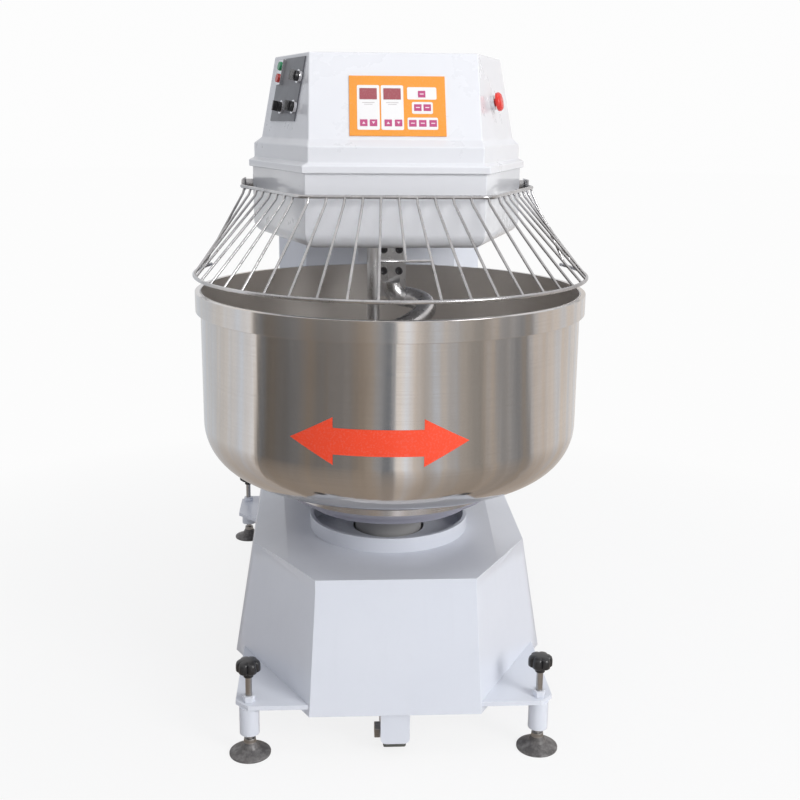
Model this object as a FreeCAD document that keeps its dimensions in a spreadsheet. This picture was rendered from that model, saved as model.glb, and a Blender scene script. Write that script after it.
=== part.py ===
"""Spiral dough mixer with a tilting wire guard, in millimetres.

The floor is z = 0, the front looks along -Y, and the origin is on the floor under
the middle of the machine. Every place below is measured from the bowl's axis, and
each sub-part is then moved by bowl_y, the bowl axis's own place.
"""
import FreeCAD, Part
import math
import os
import re
import Sketcher
from FreeCAD import Placement, Rotation, Vector

# ---------------------------------------------------------------- driving sizes
SIZES = [
    ("bowl_y", -300, "bowl axis, from the origin"),
    # bowl
    ("bowl_radius", 425, "outside of the bowl"),
    ("bowl_wall", 3, "stainless sheet"),
    ("bowl_rim_z", 970, "top of the rim"),
    ("bowl_bottom_z", 555, "underside of the bowl"),
    ("bowl_corner", 120, "outside radius between wall and bottom"),
    ("band_height", 44, "flat ring round the rim"),
    ("band_thickness", 11, "flat ring round the rim"),
    ("arrow_length", 356, "tip to tip, across the chord"),
    ("arrow_head", 88, "length of one arrow head"),
    ("arrow_height", 97, "across the arrow head"),
    ("arrow_shaft", 54, "across the shaft"),
    ("arrow_z", 727, "middle line of the arrow"),
    ("arrow_turn", -5.9, "degrees round the bowl from the front"),
    ("film_thickness", 0.6, "self-adhesive film"),
    # turntable, shaft and bearings under the bowl
    ("flange_radius", 240, "steel flange that the bowl is bolted to"),
    ("flange_z", 503, "underside of the flange"),
    ("flange_edge", 20, "edge of the flange"),
    ("flange_neck", 205, "radius of the neck up to the bowl"),
    ("turntable_radius", 195, "painted disc below the flange"),
    ("turntable_z", 475, "underside of the painted disc"),
    ("shaft_radius", 32.5, "bowl shaft"),
    ("bearing_radius", 60, "outside of the bowl bearings"),
    ("bearing_width", 23, "bowl bearings"),
    ("housing_radius", 78, "bowl bearing housing"),
    ("housing_bottom_z", 252, "bowl bearing housing"),
    ("housing_top_z", 442, "bowl bearing housing"),
    ("housing_flange", 125, "radius of the housing's flange"),
    ("well_gap", 6, "hole in the roof round the bearing housing"),
    ("collar_radius", 185, "ring on the roof round the turntable"),
    ("collar_wall", 9, "ring on the roof"),
    ("collar_height", 34, "ring on the roof"),
    ("bowl_pulley_radius", 190, "large pulley on the bowl shaft"),
    ("bowl_drive_radius", 60, "pulley of the bowl's gear motor"),
    ("low_pulley_z", 172, "underside of both lower pulleys"),
    ("low_pulley_width", 62, "both lower pulleys"),
    ("bowl_motor_y", 620, "axis of the bowl's gear motor"),
    # base
    ("plate_z", 115, "underside of the base plate"),
    ("plate_thickness", 10, "base plate"),
    ("plate_front", -350, "front edge of the base plate"),
    ("plate_half", 343, "half width of the plate at the front feet"),
    ("outrigger_half", 429, "half width of the plate at the rear feet"),
    ("outrigger_y", 860, "where the rear outriggers are full width"),
    ("plate_rear", 1022, "rear edge of the base plate"),
    ("plate_cut", 28, "cut corners of the base plate"),
    ("casing_wall", 3, "sheet of base and column"),
    ("casing_bottom_z", 100, "lower edge of the base casing"),
    ("shoulder_z", 376, "edge between the side and the roof"),
    ("roof_z", 403, "flat top of the base casing"),
    ("casing_rear", 1034, "back of base, column and head"),
    ("base_front_low", -356, "front face, bottom edge"),
    ("base_front_high", -332, "front face, top edge"),
    ("base_front_half_low", 185, "half width of the front face, bottom"),
    ("base_front_half_high", 170, "half width of the front face, top"),
    ("base_side_half_low", 365, "half width at the bottom"),
    ("base_side_half_high", 318, "half width at the shoulder"),
    ("base_side_y", -35, "where the cut corner meets the side"),
    ("base_spread", 14, "widening of the base to the back"),
    ("roof_half", 228, "half width of the flat roof at its front"),
    ("roof_front_y", -236, "where the flat roof is full width"),
    ("roof_spread", 80, "widening of the flat roof to the back"),
    # column
    ("column_front", 500, "front of the column"),
    ("column_front_half", 200, "half width of its front face"),
    ("column_side_y", 590, "where its cut corner meets the side"),
    ("column_half", 276, "half width of the column"),
    ("door_half", 205, "half width of the opening in the back"),
    ("door_low_z", 440, "lower edge of the opening in the back"),
    ("door_high_z", 1000, "upper edge of the opening in the back"),
    ("cover_lap", 18, "overlap of the rear cover"),
    ("cover_sheet", 2.5, "rear cover"),
    # head
    ("pan_bottom_z", 1078, "underside of the head pan"),
    ("pan_top_z", 1231, "upper edge of the head pan"),
    ("pan_corner", 30, "radius of the pan's lower edge"),
    ("pan_front", -190, "front of the pan"),
    ("pan_front_half", 186.5, "half width of the pan's front"),
    ("pan_side_y", 176, "where the pan's cut corner meets the side"),
    ("pan_half", 315, "half width of the pan"),
    ("head_wall", 4, "moulded head cover and pan"),
    ("lip_reach", 9, "lip of the cover beyond the pan"),
    ("lip_height", 15, "lip of the cover"),
    ("band_inset", 13, "band above the lip, inwards from the lip"),
    ("band_top_z", 1284, "upper edge of the band"),
    ("face_z", 1298, "lower edge of the sloping faces"),
    ("face_front", -160, "front face, bottom edge"),
    ("face_front_half", 179, "half width of the front face, bottom"),
    ("face_half", 291, "half width of the head, bottom of the slope"),
    ("face_side_y", 150, "corner of front and side, bottom"),
    ("head_top_z", 1475, "top of the head"),
    ("top_front", -57, "front face, top edge"),
    ("top_front_half", 178, "half width of the front face, top"),
    ("top_half", 258, "half width of the head's top"),
        # frame inside
    ("frame_sheet", 12, "plates of the welded frame"),
    ("seat_plate_z", 352, "underside of the bowl bearing's seat plate"),
    ("seat_plate", 16, "seat plate"),
    ("seat_edge", 10, "seat plate beyond its legs"),
    ("leg_gap", 8.6, "legs of the seat to the bowl pulley's belt"),
    ("seat_reach", 140, "seat plate before and behind the axis"),
    ("post_half", 178, "inside half width between the column plates"),
    ("post_front", 560, "front edge of the column plates"),
    ("post_rear", 985, "rear edge of the column plates"),
    ("rail_lap", 40, "overlap of the seat's rails and the column plates"),
    ("shelf_depth", 170, "shelves of the gearbox and the electrical box"),
    ("deck_z", 1212, "underside of the head deck"),
    ("deck_front", 40, "front edge of the head deck"),
    ("arm_half", 140, "half width between the arm plates"),
    ("arm_bottom_z", 1110, "lower edge of the arm plates"),
    # spiral drive
    ("spiral_x", 12, "axis of the spiral"),
    ("spiral_y", 215, "axis of the spiral"),
    ("spindle_radius", 32, "spindle"),
    ("spindle_top_z", 1380, "upper end of the spindle"),
    ("spindle_housing_radius", 66, "spindle bearing housing"),
    ("spindle_bearing_radius", 55, "outside of the spindle bearings"),
    ("spindle_bearing_width", 27, "spindle bearings"),
    ("spindle_housing_bottom_z", 1092, "spindle bearing housing"),
    ("spindle_housing_top_z", 1292, "spindle bearing housing"),
    ("spindle_flange", 105, "radius of the housing's flange"),
    ("spiral_pulley_radius", 188, "large pulley on the spindle"),
    ("spiral_drive_radius", 47, "pulley of the spiral motor"),
    ("high_pulley_z", 1302, "underside of both upper pulleys"),
    ("high_pulley_width", 70, "both upper pulleys"),
    ("spiral_motor_y", 790, "axis of the spiral motor"),
    ("motor_radius", 118, "spiral motor"),
    ("motor_length", 340, "spiral motor"),
    ("motor_shaft_radius", 19, "spiral motor's shaft"),
    # spiral and breaker bar
    ("palm_width", 70, "flat palm of the hook"),
    ("palm_bottom_z", 956, "lower edge of the palm"),
    ("palm_top_z", 1064, "upper edge of the palm"),
    ("palm_gap", 6, "palm to the shoulder of the spindle"),
    ("tongue_root", 8, "tongue of the spindle above its shoulder"),
    ("tongue_gap", 3, "lower end of the tongue above the bend of the hook's bar"),
    ("palm_thickness", 28, "palm and spindle tongue, each"),
    ("screw_pitch_x", 37, "palm screws, side to side"),
    ("screw_pitch_z", 51, "palm screws, up and down"),
    ("screw_head_radius", 9, "palm screws"),
    ("screw_head_height", 12, "palm screws"),
    ("hook_rod", 25, "radius of the hook's bar"),
    ("hook_radius", 158, "middle line of the spiral"),
    ("shank_z", 922, "lower end of the hook's flat shank"),
    ("hook_bend", 38, "from the shank's middle line to the level bar"),
    ("hook_bottom_z", 606, "lowest middle line of the bar"),
    ("palm_screw_radius", 6, "palm screws' shanks"),
    ("screw_gap", 0.2, "round the shanks of fixed screws"),
    ("breaker_x", -39, "breaker bar"),
    ("breaker_y", -20, "breaker bar"),
    ("breaker_radius", 14, "breaker bar"),
    ("breaker_bottom_z", 600, "lower end of the breaker bar"),
    ("breaker_plate", 12, "mounting plate of the breaker bar"),
    ("breaker_plate_half", 42, "mounting plate of the breaker bar"),
    ("breaker_gusset", 20, "reach of the gusset beside the breaker bar"),
    ("breaker_gusset_height", 34, "gusset beside the breaker bar"),
    ("breaker_gusset_sheet", 8, "gusset beside the breaker bar"),
    # guard
    ("guard_low_radius", 436, "lower ring, middle line"),
    ("guard_low_z", 1006, "lower ring"),
    ("guard_high_z", 1186, "upper ring"),
    ("guard_front_y", -216, "upper ring, front run"),
    ("guard_front_half", 197, "upper ring, half width of the front run"),
    ("guard_side_y", 143, "upper ring, where its sides turn back"),
    ("guard_side_half", 340, "upper ring, half width at the sides"),
    ("guard_bend", 40, "bends of the upper ring"),
    ("arm_front_y", 200, "where the ring ends on the hinge arms"),
    ("ring_rod", 4, "radius of the rings' bar"),
    ("wire_rod", 2.8, "radius of the wires"),
    ("wire_step", 7.9, "degrees from wire to wire"),
    ("wire_start", 2, "degrees, the middle wire"),
    ("wires_each_side", 13, "wires beside the middle one"),
    ("wire_pitch", 36.5, "wire to wire along the front of the upper ring"),
    ("wire_pitch_side", 47, "wire to wire along its sides"),
    ("wire_offset", 5, "middle wire at the upper ring"),
    ("front_wires", 5, "wires beside the middle one on the front run"),
    ("wire_knee", 14, "straight drop below the upper ring"),
    ("wire_bend", 14, "radius of a wire at its knee"),
    ("ring_low_turn", 108, "degrees each way from the front"),
    ("feed_share", 0.37, "height of the cross bar up the wires"),
    ("hinge_y", 250, "guard hinge"),
    ("hinge_pin", 6, "radius of the guard's hinge pins"),
    ("arm_sheet", 4, "hinge arms"),
    ("arm_width", 30, "hinge arms"),
    ("hinge_fit", 0.05, "running clearance of pins and shafts"),
    # control panel and switches
    ("panel_width", 200, "orange control panel"),
    ("panel_height", 140, "orange control panel, up the slope"),
    ("panel_x", 5.5, "middle of the panel"),
    ("panel_rise", 78, "middle of the panel above the slope's foot"),
    ("panel_sheet", 2, "panel"),
    ("key_side", 15.4, "square keys of the panel"),
    ("display_width", 36, "display windows"),
    ("display_height", 26, "display windows"),
    ("film_height", 1, "displays and keys above the panel"),
    ("switch_plate_width", 172, "plate of the rotary switches"),
    ("switch_plate_height", 136, "plate of the rotary switches"),
    ("switch_plate_along", 192, "middle of the plate, from the front corner"),
    ("switch_plate_rise", 104, "middle of the plate, up the slope"),
    ("switch_plate_sheet", 3, "plate of the rotary switches"),
    ("switch_rise", 97, "middle of the rotary switches, up the slope"),
    ("switch_near", 116, "front column of switches, from the front corner"),
    ("switch_pitch", 84, "switch to switch, side to side"),
    ("push_along", 128, "front column of switches to the push buttons"),
    ("push_lift", 12, "middle of the push buttons above the upper switch"),
    ("switch_drop", 64, "switch to switch, up and down"),
    ("bezel_radius", 14.5, "chrome bezels"),
    ("bezel_height", 6, "chrome bezels"),
    ("knob_radius", 11, "rotary switch knobs"),
    ("knob_height", 17, "rotary switch knobs"),
    ("knob_stem", 6, "rotary switch stems"),
    ("knob_lift", 0.5, "knob above its bezel"),
    ("push_radius", 9.5, "push buttons"),
    ("push_height", 4, "push buttons, above their bezel"),
    ("push_pitch", 26, "green button to red button"),
    ("push_travel", 3.5, "push buttons"),
    ("push_bezel_height", 8, "bezel of the push buttons"),
    ("stop_radius", 20, "emergency stop button"),
    ("stop_along", 152, "emergency stop, from the front corner"),
    ("stop_rise", 78, "emergency stop, up the slope"),
    ("stop_stem", 8, "emergency stop, stem radius"),
    ("stop_base", 16, "emergency stop, radius of its base"),
    ("stop_base_height", 9, "emergency stop, its base"),
    ("stop_travel", 3.5, "emergency stop"),
    ("stop_height", 12, "emergency stop, its head"),
    ("button_gap", 0.4, "round every moving button"),
    # levelling feet
    ("foot_x", 314, "front feet"),
    ("foot_y", -325, "front feet"),
    ("rear_foot_x", 407, "rear feet"),
    ("rear_foot_y", 975, "rear feet"),
    ("sleeve_radius", 21.5, "threaded sleeves"),
    ("sleeve_bottom_z", 50, "threaded sleeves"),
    ("screw_radius", 7, "foot screws"),
    ("foot_nut", 12, "half across flats of the nuts"),
    ("nut_height", 14, "nuts on the plate"),
    ("grip_hub", 11, "hub below the hand grip"),
    ("grip_z", 194, "underside of the hand grip"),
    ("grip_height", 27, "hand grip"),
    ("grip_radius", 29.5, "hand grip, over its lobes"),
    ("lobe_radius", 8.5, "lobes of the hand grip"),
    ("lobe_count", 6, "lobes of the hand grip"),
    ("pad_radius", 45, "foot pads"),
    ("pad_top_z", 38, "foot pads, top of the hub"),
    # wheels
    ("wheel_radius", 37.5, "transport wheels"),
    ("wheel_width", 49, "transport wheels"),
    ("wheel_lift", 1.5, "wheels clear of the floor"),
    ("wheel_y", -306, "front wheel"),
    ("rear_wheel_x", 240, "rear wheels"),
    ("rear_wheel_y", 880, "rear wheels"),
    ("fork_gap", 3, "wheel to fork"),
    ("fork_sheet", 4, "forks"),
    ("axle_radius", 8, "wheel axles"),
    ("fork_bottom", 29, "lower edge of the forks"),
    ("fork_corner", 12, "rounding of a fork's lower corners"),
    ("fork_front", 3, "clear of the wheel in front, to the fork's plate"),
    ("fork_reach", 40, "fork behind the axle"),
    ("nut_across", 17, "axle heads and nuts, half across flats"),
    ("axle_head", 12, "axle heads and nuts"),
    # services
    ("box_width", 300, "electrical box"),
    ("box_height", 170, "electrical box"),
    ("box_depth", 110, "electrical box"),
    ("gland_x", 190, "cable gland"),
    ("gland_z", 200, "cable gland"),
    ("gland_radius", 13, "cable gland"),
    ("gland_bore", 7, "cable gland"),
    ("gland_nut", 6.5, "cable gland, both nuts"),
    ("belt_gap", 0.4, "belts to pulleys"),
    ("belt_thickness", 7, "belts"),
    ("rim_thickness", 14, "rims and webs of the large pulleys"),
    ("hub_radius", 50, "hubs of the large pulleys"),
    ("small_shaft_radius", 15, "shaft of the bowl's gear motor"),
    ("shaft_end_gap", 0.5, "end of a motor shaft to its bore"),
    ("shaft_depth", 60, "motor shafts in their motors"),
    ("gearbox_side", 180, "gearbox of the bowl's motor"),
    ("gearbox_z", 250, "underside of the gearbox"),
    ("shelf_z", 400, "shelf that the gearbox hangs from"),
    ("small_motor_radius", 80, "bowl's motor"),
    ("small_motor_top", 640, "bowl's motor"),
    ("box_shelf_z", 655, "shelf of the electrical box"),
    ("louvre_count", 9, "louvres in the rear cover"),
    ("louvre_width", 260, "louvres in the rear cover"),
    ("louvre_height", 7, "louvres in the rear cover"),
    ("louvre_pitch", 26, "louvres in the rear cover"),
    ("louvre_drop", 60, "highest louvre, below the opening's edge"),
    ("screw_shank", 3, "radius of the cover screws"),
    ("cover_head", 4, "height of the cover screws' heads"),
    ("spindle_gap", 9, "hole in the pan round the spindle"),
]


# ------------------------------------------------------------- document helpers
doc = FreeCAD.newDocument("spiral_mixer")
sheet = doc.addObject("Spreadsheet::Sheet", "Sizes")
for row, (alias, size, note) in enumerate(SIZES, start=1):
    sheet.set(f"A{row}", alias)
    sheet.set(f"B{row}", str(size))
    sheet.set(f"C{row}", note)
    sheet.setAlias(f"B{row}", alias)
doc.recompute()

NAMES = {alias for alias, size, note in SIZES}
SIDES = (("left", -1), ("right", 1))
parts = []


def value(alias):
    """The number that a cell of the sheet holds."""
    return float(sheet.get(alias))


def cells(formula):
    """A formula in the sheet's names, as the document writes it."""
    return re.sub(r"[a-z_]+", lambda word: f"Sizes.{word[0]}" if word[0] in NAMES else word[0], formula)


def bind(item, **formulas):
    """Ties properties to formulas in the sheet's names."""
    for name, formula in formulas.items():
        item.setExpression(name, cells(formula))


def stand(item, x="0", y="0", z="0"):
    """Places an object by formulas."""
    for axis, formula in (("x", x), ("y", y), ("z", z)):
        item.setExpression(f"Placement.Base.{axis}", cells(formula))
    return item


def box(name, length, width, height, x="0", y="0", z="0"):
    """A block between x, y, z and x + length, y + width, z + height."""
    item = doc.addObject("Part::Box", name)
    bind(item, Length=length, Width=width, Height=height)
    return stand(item, x, y, z)


def rod(name, radius, height, x="0", y="0", z="0", along="Z"):
    """A cylinder that starts at x, y, z."""
    item = doc.addObject("Part::Cylinder", name)
    bind(item, Radius=radius, Height=height)
    if along == "X":
        item.Placement = Placement(Vector(), Rotation(Vector(0, 1, 0), 90))
    if along == "Y":
        item.Placement = Placement(Vector(), Rotation(Vector(1, 0, 0), -90))
    return stand(item, x, y, z)


def hexagon(name, across, height, x="0", y="0", z="0", along="Z"):
    """A hexagonal prism, its size given as half across flats."""
    item = doc.addObject("Part::Prism", name)
    item.Polygon = 6
    bind(item, Circumradius=f"({across}) / cos(30)", Height=height)
    if along == "X":
        item.Placement = Placement(Vector(), Rotation(Vector(0, 1, 0), 90))
    if along == "Y":
        item.Placement = Placement(Vector(), Rotation(Vector(1, 0, 0), -90))
    return stand(item, x, y, z)


def fuse(name, items):
    """One solid, or a group of solids, from several."""
    item = doc.addObject("Part::MultiFuse", name)
    item.Shapes = items
    item.Refine = True
    return item


def group(name, items):
    """Separate solids kept in one object."""
    item = doc.addObject("Part::Compound", name)
    item.Links = items
    return item


def cut(name, base, tools, refine=True):
    """The base less each tool; refining joins neighbouring faces of one surface."""
    for number, tool in enumerate(tools):
        item = doc.addObject("Part::Cut", f"{name}_{number}")
        item.Base = base
        item.Tool = tool
        item.Refine = refine
        base = item
    return base


def body_of(name):
    """A new PartDesign body."""
    return doc.addObject("PartDesign::Body", name)


def sketch_on(body, name, role, offset="0"):
    """A sketch on one of the body's own planes, moved along its normal."""
    sketch = body.newObject("Sketcher::SketchObject", name)
    plane = [item for item in body.Origin.OriginFeatures if item.Role == role][0]
    sketch.AttachmentSupport = [(plane, "")]
    sketch.MapMode = "FlatFace"
    sketch.setExpression("AttachmentOffset.Base.z", cells(offset))
    return sketch


def fix_point(sketch, geometry, end, x, y):
    """Holds a point at x, y from the sketch's origin."""
    for kind, axis, formula in (("DistanceX", -2, x), ("DistanceY", -1, y)):
        if formula == "0":
            sketch.addConstraint(Sketcher.Constraint("PointOnObject", geometry, end, axis))
        else:
            index = sketch.addConstraint(Sketcher.Constraint(kind, -1, 1, geometry, end, 1.0))
            sketch.setExpression(f"Constraints[{index}]", cells(formula))


def polygon(sketch, points):
    """A closed outline through points given as formulas."""
    first = sketch.GeometryCount
    count = len(points)
    turn = 2 * math.pi / count
    ring = [Vector(math.cos(turn * k), math.sin(turn * k), 0) for k in range(count)]
    for k in range(count):
        sketch.addGeometry(Part.LineSegment(ring[k], ring[(k + 1) % count]), False)
    for k in range(count):
        after = first + (k + 1) % count
        sketch.addConstraint(Sketcher.Constraint("Coincident", first + k, 2, after, 1))
    for k, (x, y) in enumerate(points):
        fix_point(sketch, first + k, 1, x, y)


def circle(sketch, x, y, radius):
    """A circle with its centre and radius given as formulas."""
    index = sketch.addGeometry(Part.Circle(Vector(1, 1, 0), Vector(0, 0, 1), 1), False)
    fix_point(sketch, index, 3, x, y)
    size = sketch.addConstraint(Sketcher.Constraint("Radius", index, 1.0))
    sketch.setExpression(f"Constraints[{size}]", cells(radius))


def pad(body, sketch, length):
    """Adds the sketch's outline as a prism."""
    item = body.newObject("PartDesign::Pad", f"{sketch.Name}_pad")
    item.Profile = sketch
    bind(item, Length=length)
    return item


def pocket(body, sketch, length, up=False):
    """Cuts the sketch's outline, downwards unless told otherwise."""
    item = body.newObject("PartDesign::Pocket", f"{sketch.Name}_pocket")
    item.Profile = sketch
    item.Reversed = up
    bind(item, Length=length)
    return item


def turned(name, points):
    """A turned piece from its half section, in radius and height."""
    body = body_of(name)
    sketch = sketch_on(body, f"{name}_section", "XZ_Plane")
    polygon(sketch, points)
    item = body.newObject("PartDesign::Revolution", f"{name}_turn")
    item.Profile = sketch
    item.ReferenceAxis = (sketch, ["V_Axis"])
    item.Angle = 360
    return body


def keep(item, label):
    """Lists a finished sub-part under its name, in a compound that stands at the bowl's place."""
    placed = doc.addObject("Part::Compound", f"{label}_placed")
    placed.Links = [item]
    placed.Label = label
    placed.setExpression("Placement.Base.y", "Sizes.bowl_y")
    parts.append(placed)
    return item


def shaped(name, solids):
    """A piece whose solids come from Part's own functions, measured from the bowl's axis."""
    item = doc.addObject("Part::Feature", name)
    item.Shape = solids[0] if len(solids) == 1 else Part.makeCompound(solids)
    return item


def bent(points, bend):
    """Edges of a bar's middle line: straight runs joined by arcs."""
    edges = []
    start = points[0]
    for before, corner, after in zip(points, points[1:], points[2:]):
        towards = (corner - before).normalize()
        away = (after - corner).normalize()
        half = towards.getAngle(away) / 2
        first = corner - towards * (bend * math.tan(half))
        last = corner + away * (bend * math.tan(half))
        inwards = (away - towards).normalize()
        middle = corner + inwards * (bend / math.cos(half) - bend)
        edges.append(Part.LineSegment(start, first).toShape())
        edges.append(Part.Arc(first, middle, last).toShape())
        start = last
    edges.append(Part.LineSegment(start, points[-1]).toShape())
    return edges


def swept(edges, radius):
    """A round bar along edges that run on from one another."""
    first = edges[0]
    start = first.valueAt(first.FirstParameter)
    along = first.tangentAt(first.FirstParameter)
    profile = Part.Wire([Part.makeCircle(radius, start, along)])
    return Part.Wire(edges).makePipeShell([profile], True, False)


def slope(side):
    """Frame of a sloping face of the head: x along it, y up it, z outwards; side 0 is the front."""
    corner = Vector(side * value("face_front_half"), value("face_front"), value("face_z"))
    top = Vector(side * value("top_front_half"), value("top_front"), value("head_top_z"))
    rear = Vector(side * value("face_half"), value("face_side_y"), value("face_z"))
    along = (rear - corner).normalize() * side if side else Vector(1, 0, 0)
    rise = top - corner
    upwards = (rise - along * rise.dot(along)).normalize()
    return Placement(corner, Rotation(along, upwards, along.cross(upwards), "ZXY"))


def on_slope(item, side, x="0", y="0"):
    """Places a piece on a sloping face."""
    place = slope(side)
    item.Placement = Placement(place.multVec(Vector(number(x), number(y), 0)), place.Rotation)
    return item


def number(formula):
    """What a formula comes to."""
    return float(sheet.evalExpression(cells(formula).replace("Sizes.", "")))


# --------------------------------------------------------------- casings, sheet
BASE_SHARES = (0.62, 0.23)  # how an inset moves the corners of the base's outline
HEAD_SHARES = (0.71, 0.17)  # the same for the head's steeper cut corners


def outline(body, name, z, points, inset="0", shares=BASE_SHARES):
    """A six-sided plan at height z: its front, side and rear corners, mirrored."""
    (front_x, front_y), (side_x, side_y), (rear_x, rear_y) = points
    right = [
        (f"{front_x} - ({inset}) * {shares[0]}", f"{front_y} + ({inset})"),
        (f"{side_x} - ({inset})", f"{side_y} + ({inset}) * {shares[1]}"),
        (f"{rear_x} - ({inset})", f"{rear_y} - ({inset})"),
    ]
    sketch = sketch_on(body, name, "XY_Plane", z)
    polygon(sketch, right + [(f"-({x})", y) for x, y in reversed(right)])
    return sketch


def loft(body, name, kind, sketches):
    """Flat faces between outlines, added or cut away."""
    item = body.newObject(f"PartDesign::{kind}Loft", name)
    item.Profile = sketches[0]
    item.Sections = sketches[1:]
    item.Ruled = True
    return item


def tapered_shell(name, levels, insets, drops, shares):
    """A shell open below: outlines at rising levels, less the same outlines inset."""
    body = body_of(name)
    outer = [outline(body, f"{name}_out_{k}", z, points, shares=shares) for k, (z, points) in enumerate(levels)]
    loft(body, f"{name}_outside", "Additive", outer)
    inner = [
        outline(body, f"{name}_in_{k}", f"{z} - ({drops[k]})", points, insets[k], shares)
        for k, (z, points) in enumerate(levels)
    ]
    loft(body, f"{name}_inside", "Subtractive", inner)
    return body


def base_plate():
    """Flat plate under the machine, wide at the back where its outriggers carry the feet."""
    body = body_of("base_plate_body")
    sketch = sketch_on(body, "base_plate_plan", "XY_Plane", "plate_z")
    right = [
        ("plate_half - plate_cut", "plate_front"),
        ("plate_half", "plate_front + plate_cut"),
        ("plate_half", "outrigger_y - 90"),
        ("outrigger_half", "outrigger_y"),
        ("outrigger_half", "plate_rear - plate_cut"),
        ("outrigger_half - plate_cut", "plate_rear"),
    ]
    polygon(sketch, right + [(f"-({x})", y) for x, y in reversed(right)])
    pad(body, sketch, "plate_thickness")
    holes = sketch_on(body, "base_plate_holes", "XY_Plane", "plate_z + plate_thickness")
    for x, y in (("foot_x", "foot_y"), ("rear_foot_x", "rear_foot_y")):
        for sign in ("", "-"):
            circle(holes, f"{sign}{x}", y, "screw_radius + button_gap")
    pocket(body, holes, "plate_thickness * 2")
    return keep(body, "base_plate")


def base_levels():
    """Plan of the base casing at its foot, its shoulder and its roof."""
    rear = "casing_rear"
    return [
        ("casing_bottom_z", [("base_front_half_low", "base_front_low"), ("base_side_half_low", "base_side_y"),
                             ("base_side_half_low + base_spread", rear)]),
        ("shoulder_z", [("base_front_half_high", "base_front_high"), ("base_side_half_high", "base_side_y"),
                        ("base_side_half_high + base_spread", rear)]),
        ("roof_z", [("base_front_half_high", "base_front_high"), ("roof_half", "roof_front_y"),
                    ("roof_half + roof_spread", rear)]),
    ]


def base_casing(plate):
    """Tapered sheet casing with cut front corners; the base plate's corners pass through it."""
    wall = "casing_wall"
    body = tapered_shell("base_shell", base_levels(), [wall] * 3, ["0", wall, wall], BASE_SHARES)
    well = sketch_on(body, "base_well", "XY_Plane", "roof_z")
    circle(well, "0", "0", "housing_radius + well_gap")
    pocket(body, well, "casing_wall * 3")
    shaft = sketch_on(body, "base_shaft", "XY_Plane", "roof_z")
    inside = "column_front_half - casing_wall * 2"
    polygon(shaft, [
        (f"-({inside})", "column_front + casing_wall * 4"),
        (inside, "column_front + casing_wall * 4"),
        (inside, "casing_rear - casing_wall * 4"),
        (f"-({inside})", "casing_rear - casing_wall * 4"),
    ])
    pocket(body, shaft, "casing_wall * 3")
    hole = rod("gland_hole", "gland_radius", "casing_wall * 3", "gland_x", "casing_rear - casing_wall * 2",
               "gland_z", "Y")
    return keep(cut("base_casing_cut", body, [plate, hole]), "base_casing")


def column_casing():
    """Sheet column behind the bowl, open below, above and behind its rear cover."""
    body = body_of("column_body")
    plan = [("column_front_half", "column_front"), ("column_half", "column_side_y"), ("column_half", "casing_rear")]
    outer = outline(body, "column_outside", "roof_z", plan)
    pad(body, outer, "pan_bottom_z - roof_z")
    inner = outline(body, "column_inside", "pan_bottom_z", plan, "casing_wall")
    pocket(body, inner, "pan_bottom_z - roof_z")
    doorway = box("doorway", "door_half * 2", "casing_wall * 3", "door_high_z - door_low_z", "-door_half",
                  "casing_rear - casing_wall * 2", "door_low_z")
    holes = cover_screw_rods("door_hole", "screw_shank", "casing_wall * 4", "casing_rear - casing_wall * 2")
    return keep(cut("column_cut", body, [doorway] + holes), "column_casing")


def cover_screw_places():
    """Six places round the doorway, in x and z."""
    side = "door_half + cover_lap / 2"
    heights = ("door_low_z - cover_lap / 2", "(door_low_z + door_high_z) / 2", "door_high_z + cover_lap / 2")
    return [(f"{sign}({side})", z) for sign in ("-", "") for z in heights]


def cover_screw_rods(name, radius, length, y):
    """One rod along Y at each of those places."""
    return [rod(f"{name}_{k}", radius, length, x, y, z, "Y") for k, (x, z) in enumerate(cover_screw_places())]


def rear_cover():
    """Screwed sheet over the doorway, with louvre slots for the motor's cooling air."""
    plate = box("rear_cover_sheet", "(door_half + cover_lap) * 2", "cover_sheet",
                "door_high_z - door_low_z + cover_lap * 2", "-(door_half + cover_lap)", "casing_rear",
                "door_low_z - cover_lap")
    slots = []
    for k in range(int(value("louvre_count"))):
        rise = f"door_high_z - louvre_drop - {k} * louvre_pitch"
        slots.append(box(f"louvre_{k}", "louvre_width", "cover_sheet * 3", "louvre_height", "-louvre_width / 2",
                         "casing_rear - cover_sheet", rise))
    holes = cover_screw_rods("cover_hole", "screw_shank", "cover_sheet * 3", "casing_rear - cover_sheet")
    return keep(cut("rear_cover_cut", plate, slots + holes), "rear_cover")


def cover_screws():
    """Pan-head screws of the rear cover."""
    face = "casing_rear + cover_sheet"
    heads = cover_screw_rods("cover_head", "screw_shank * 1.8", "cover_head", face)
    shanks = cover_screw_rods("cover_shank", "screw_shank", "cover_sheet + casing_wall",
                              "casing_rear - casing_wall")
    pairs = [fuse(f"cover_screw_{k}", [head, shank]) for k, (head, shank) in enumerate(zip(heads, shanks))]
    return keep(group("cover_screw_group", pairs), "cover_screws")


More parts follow.
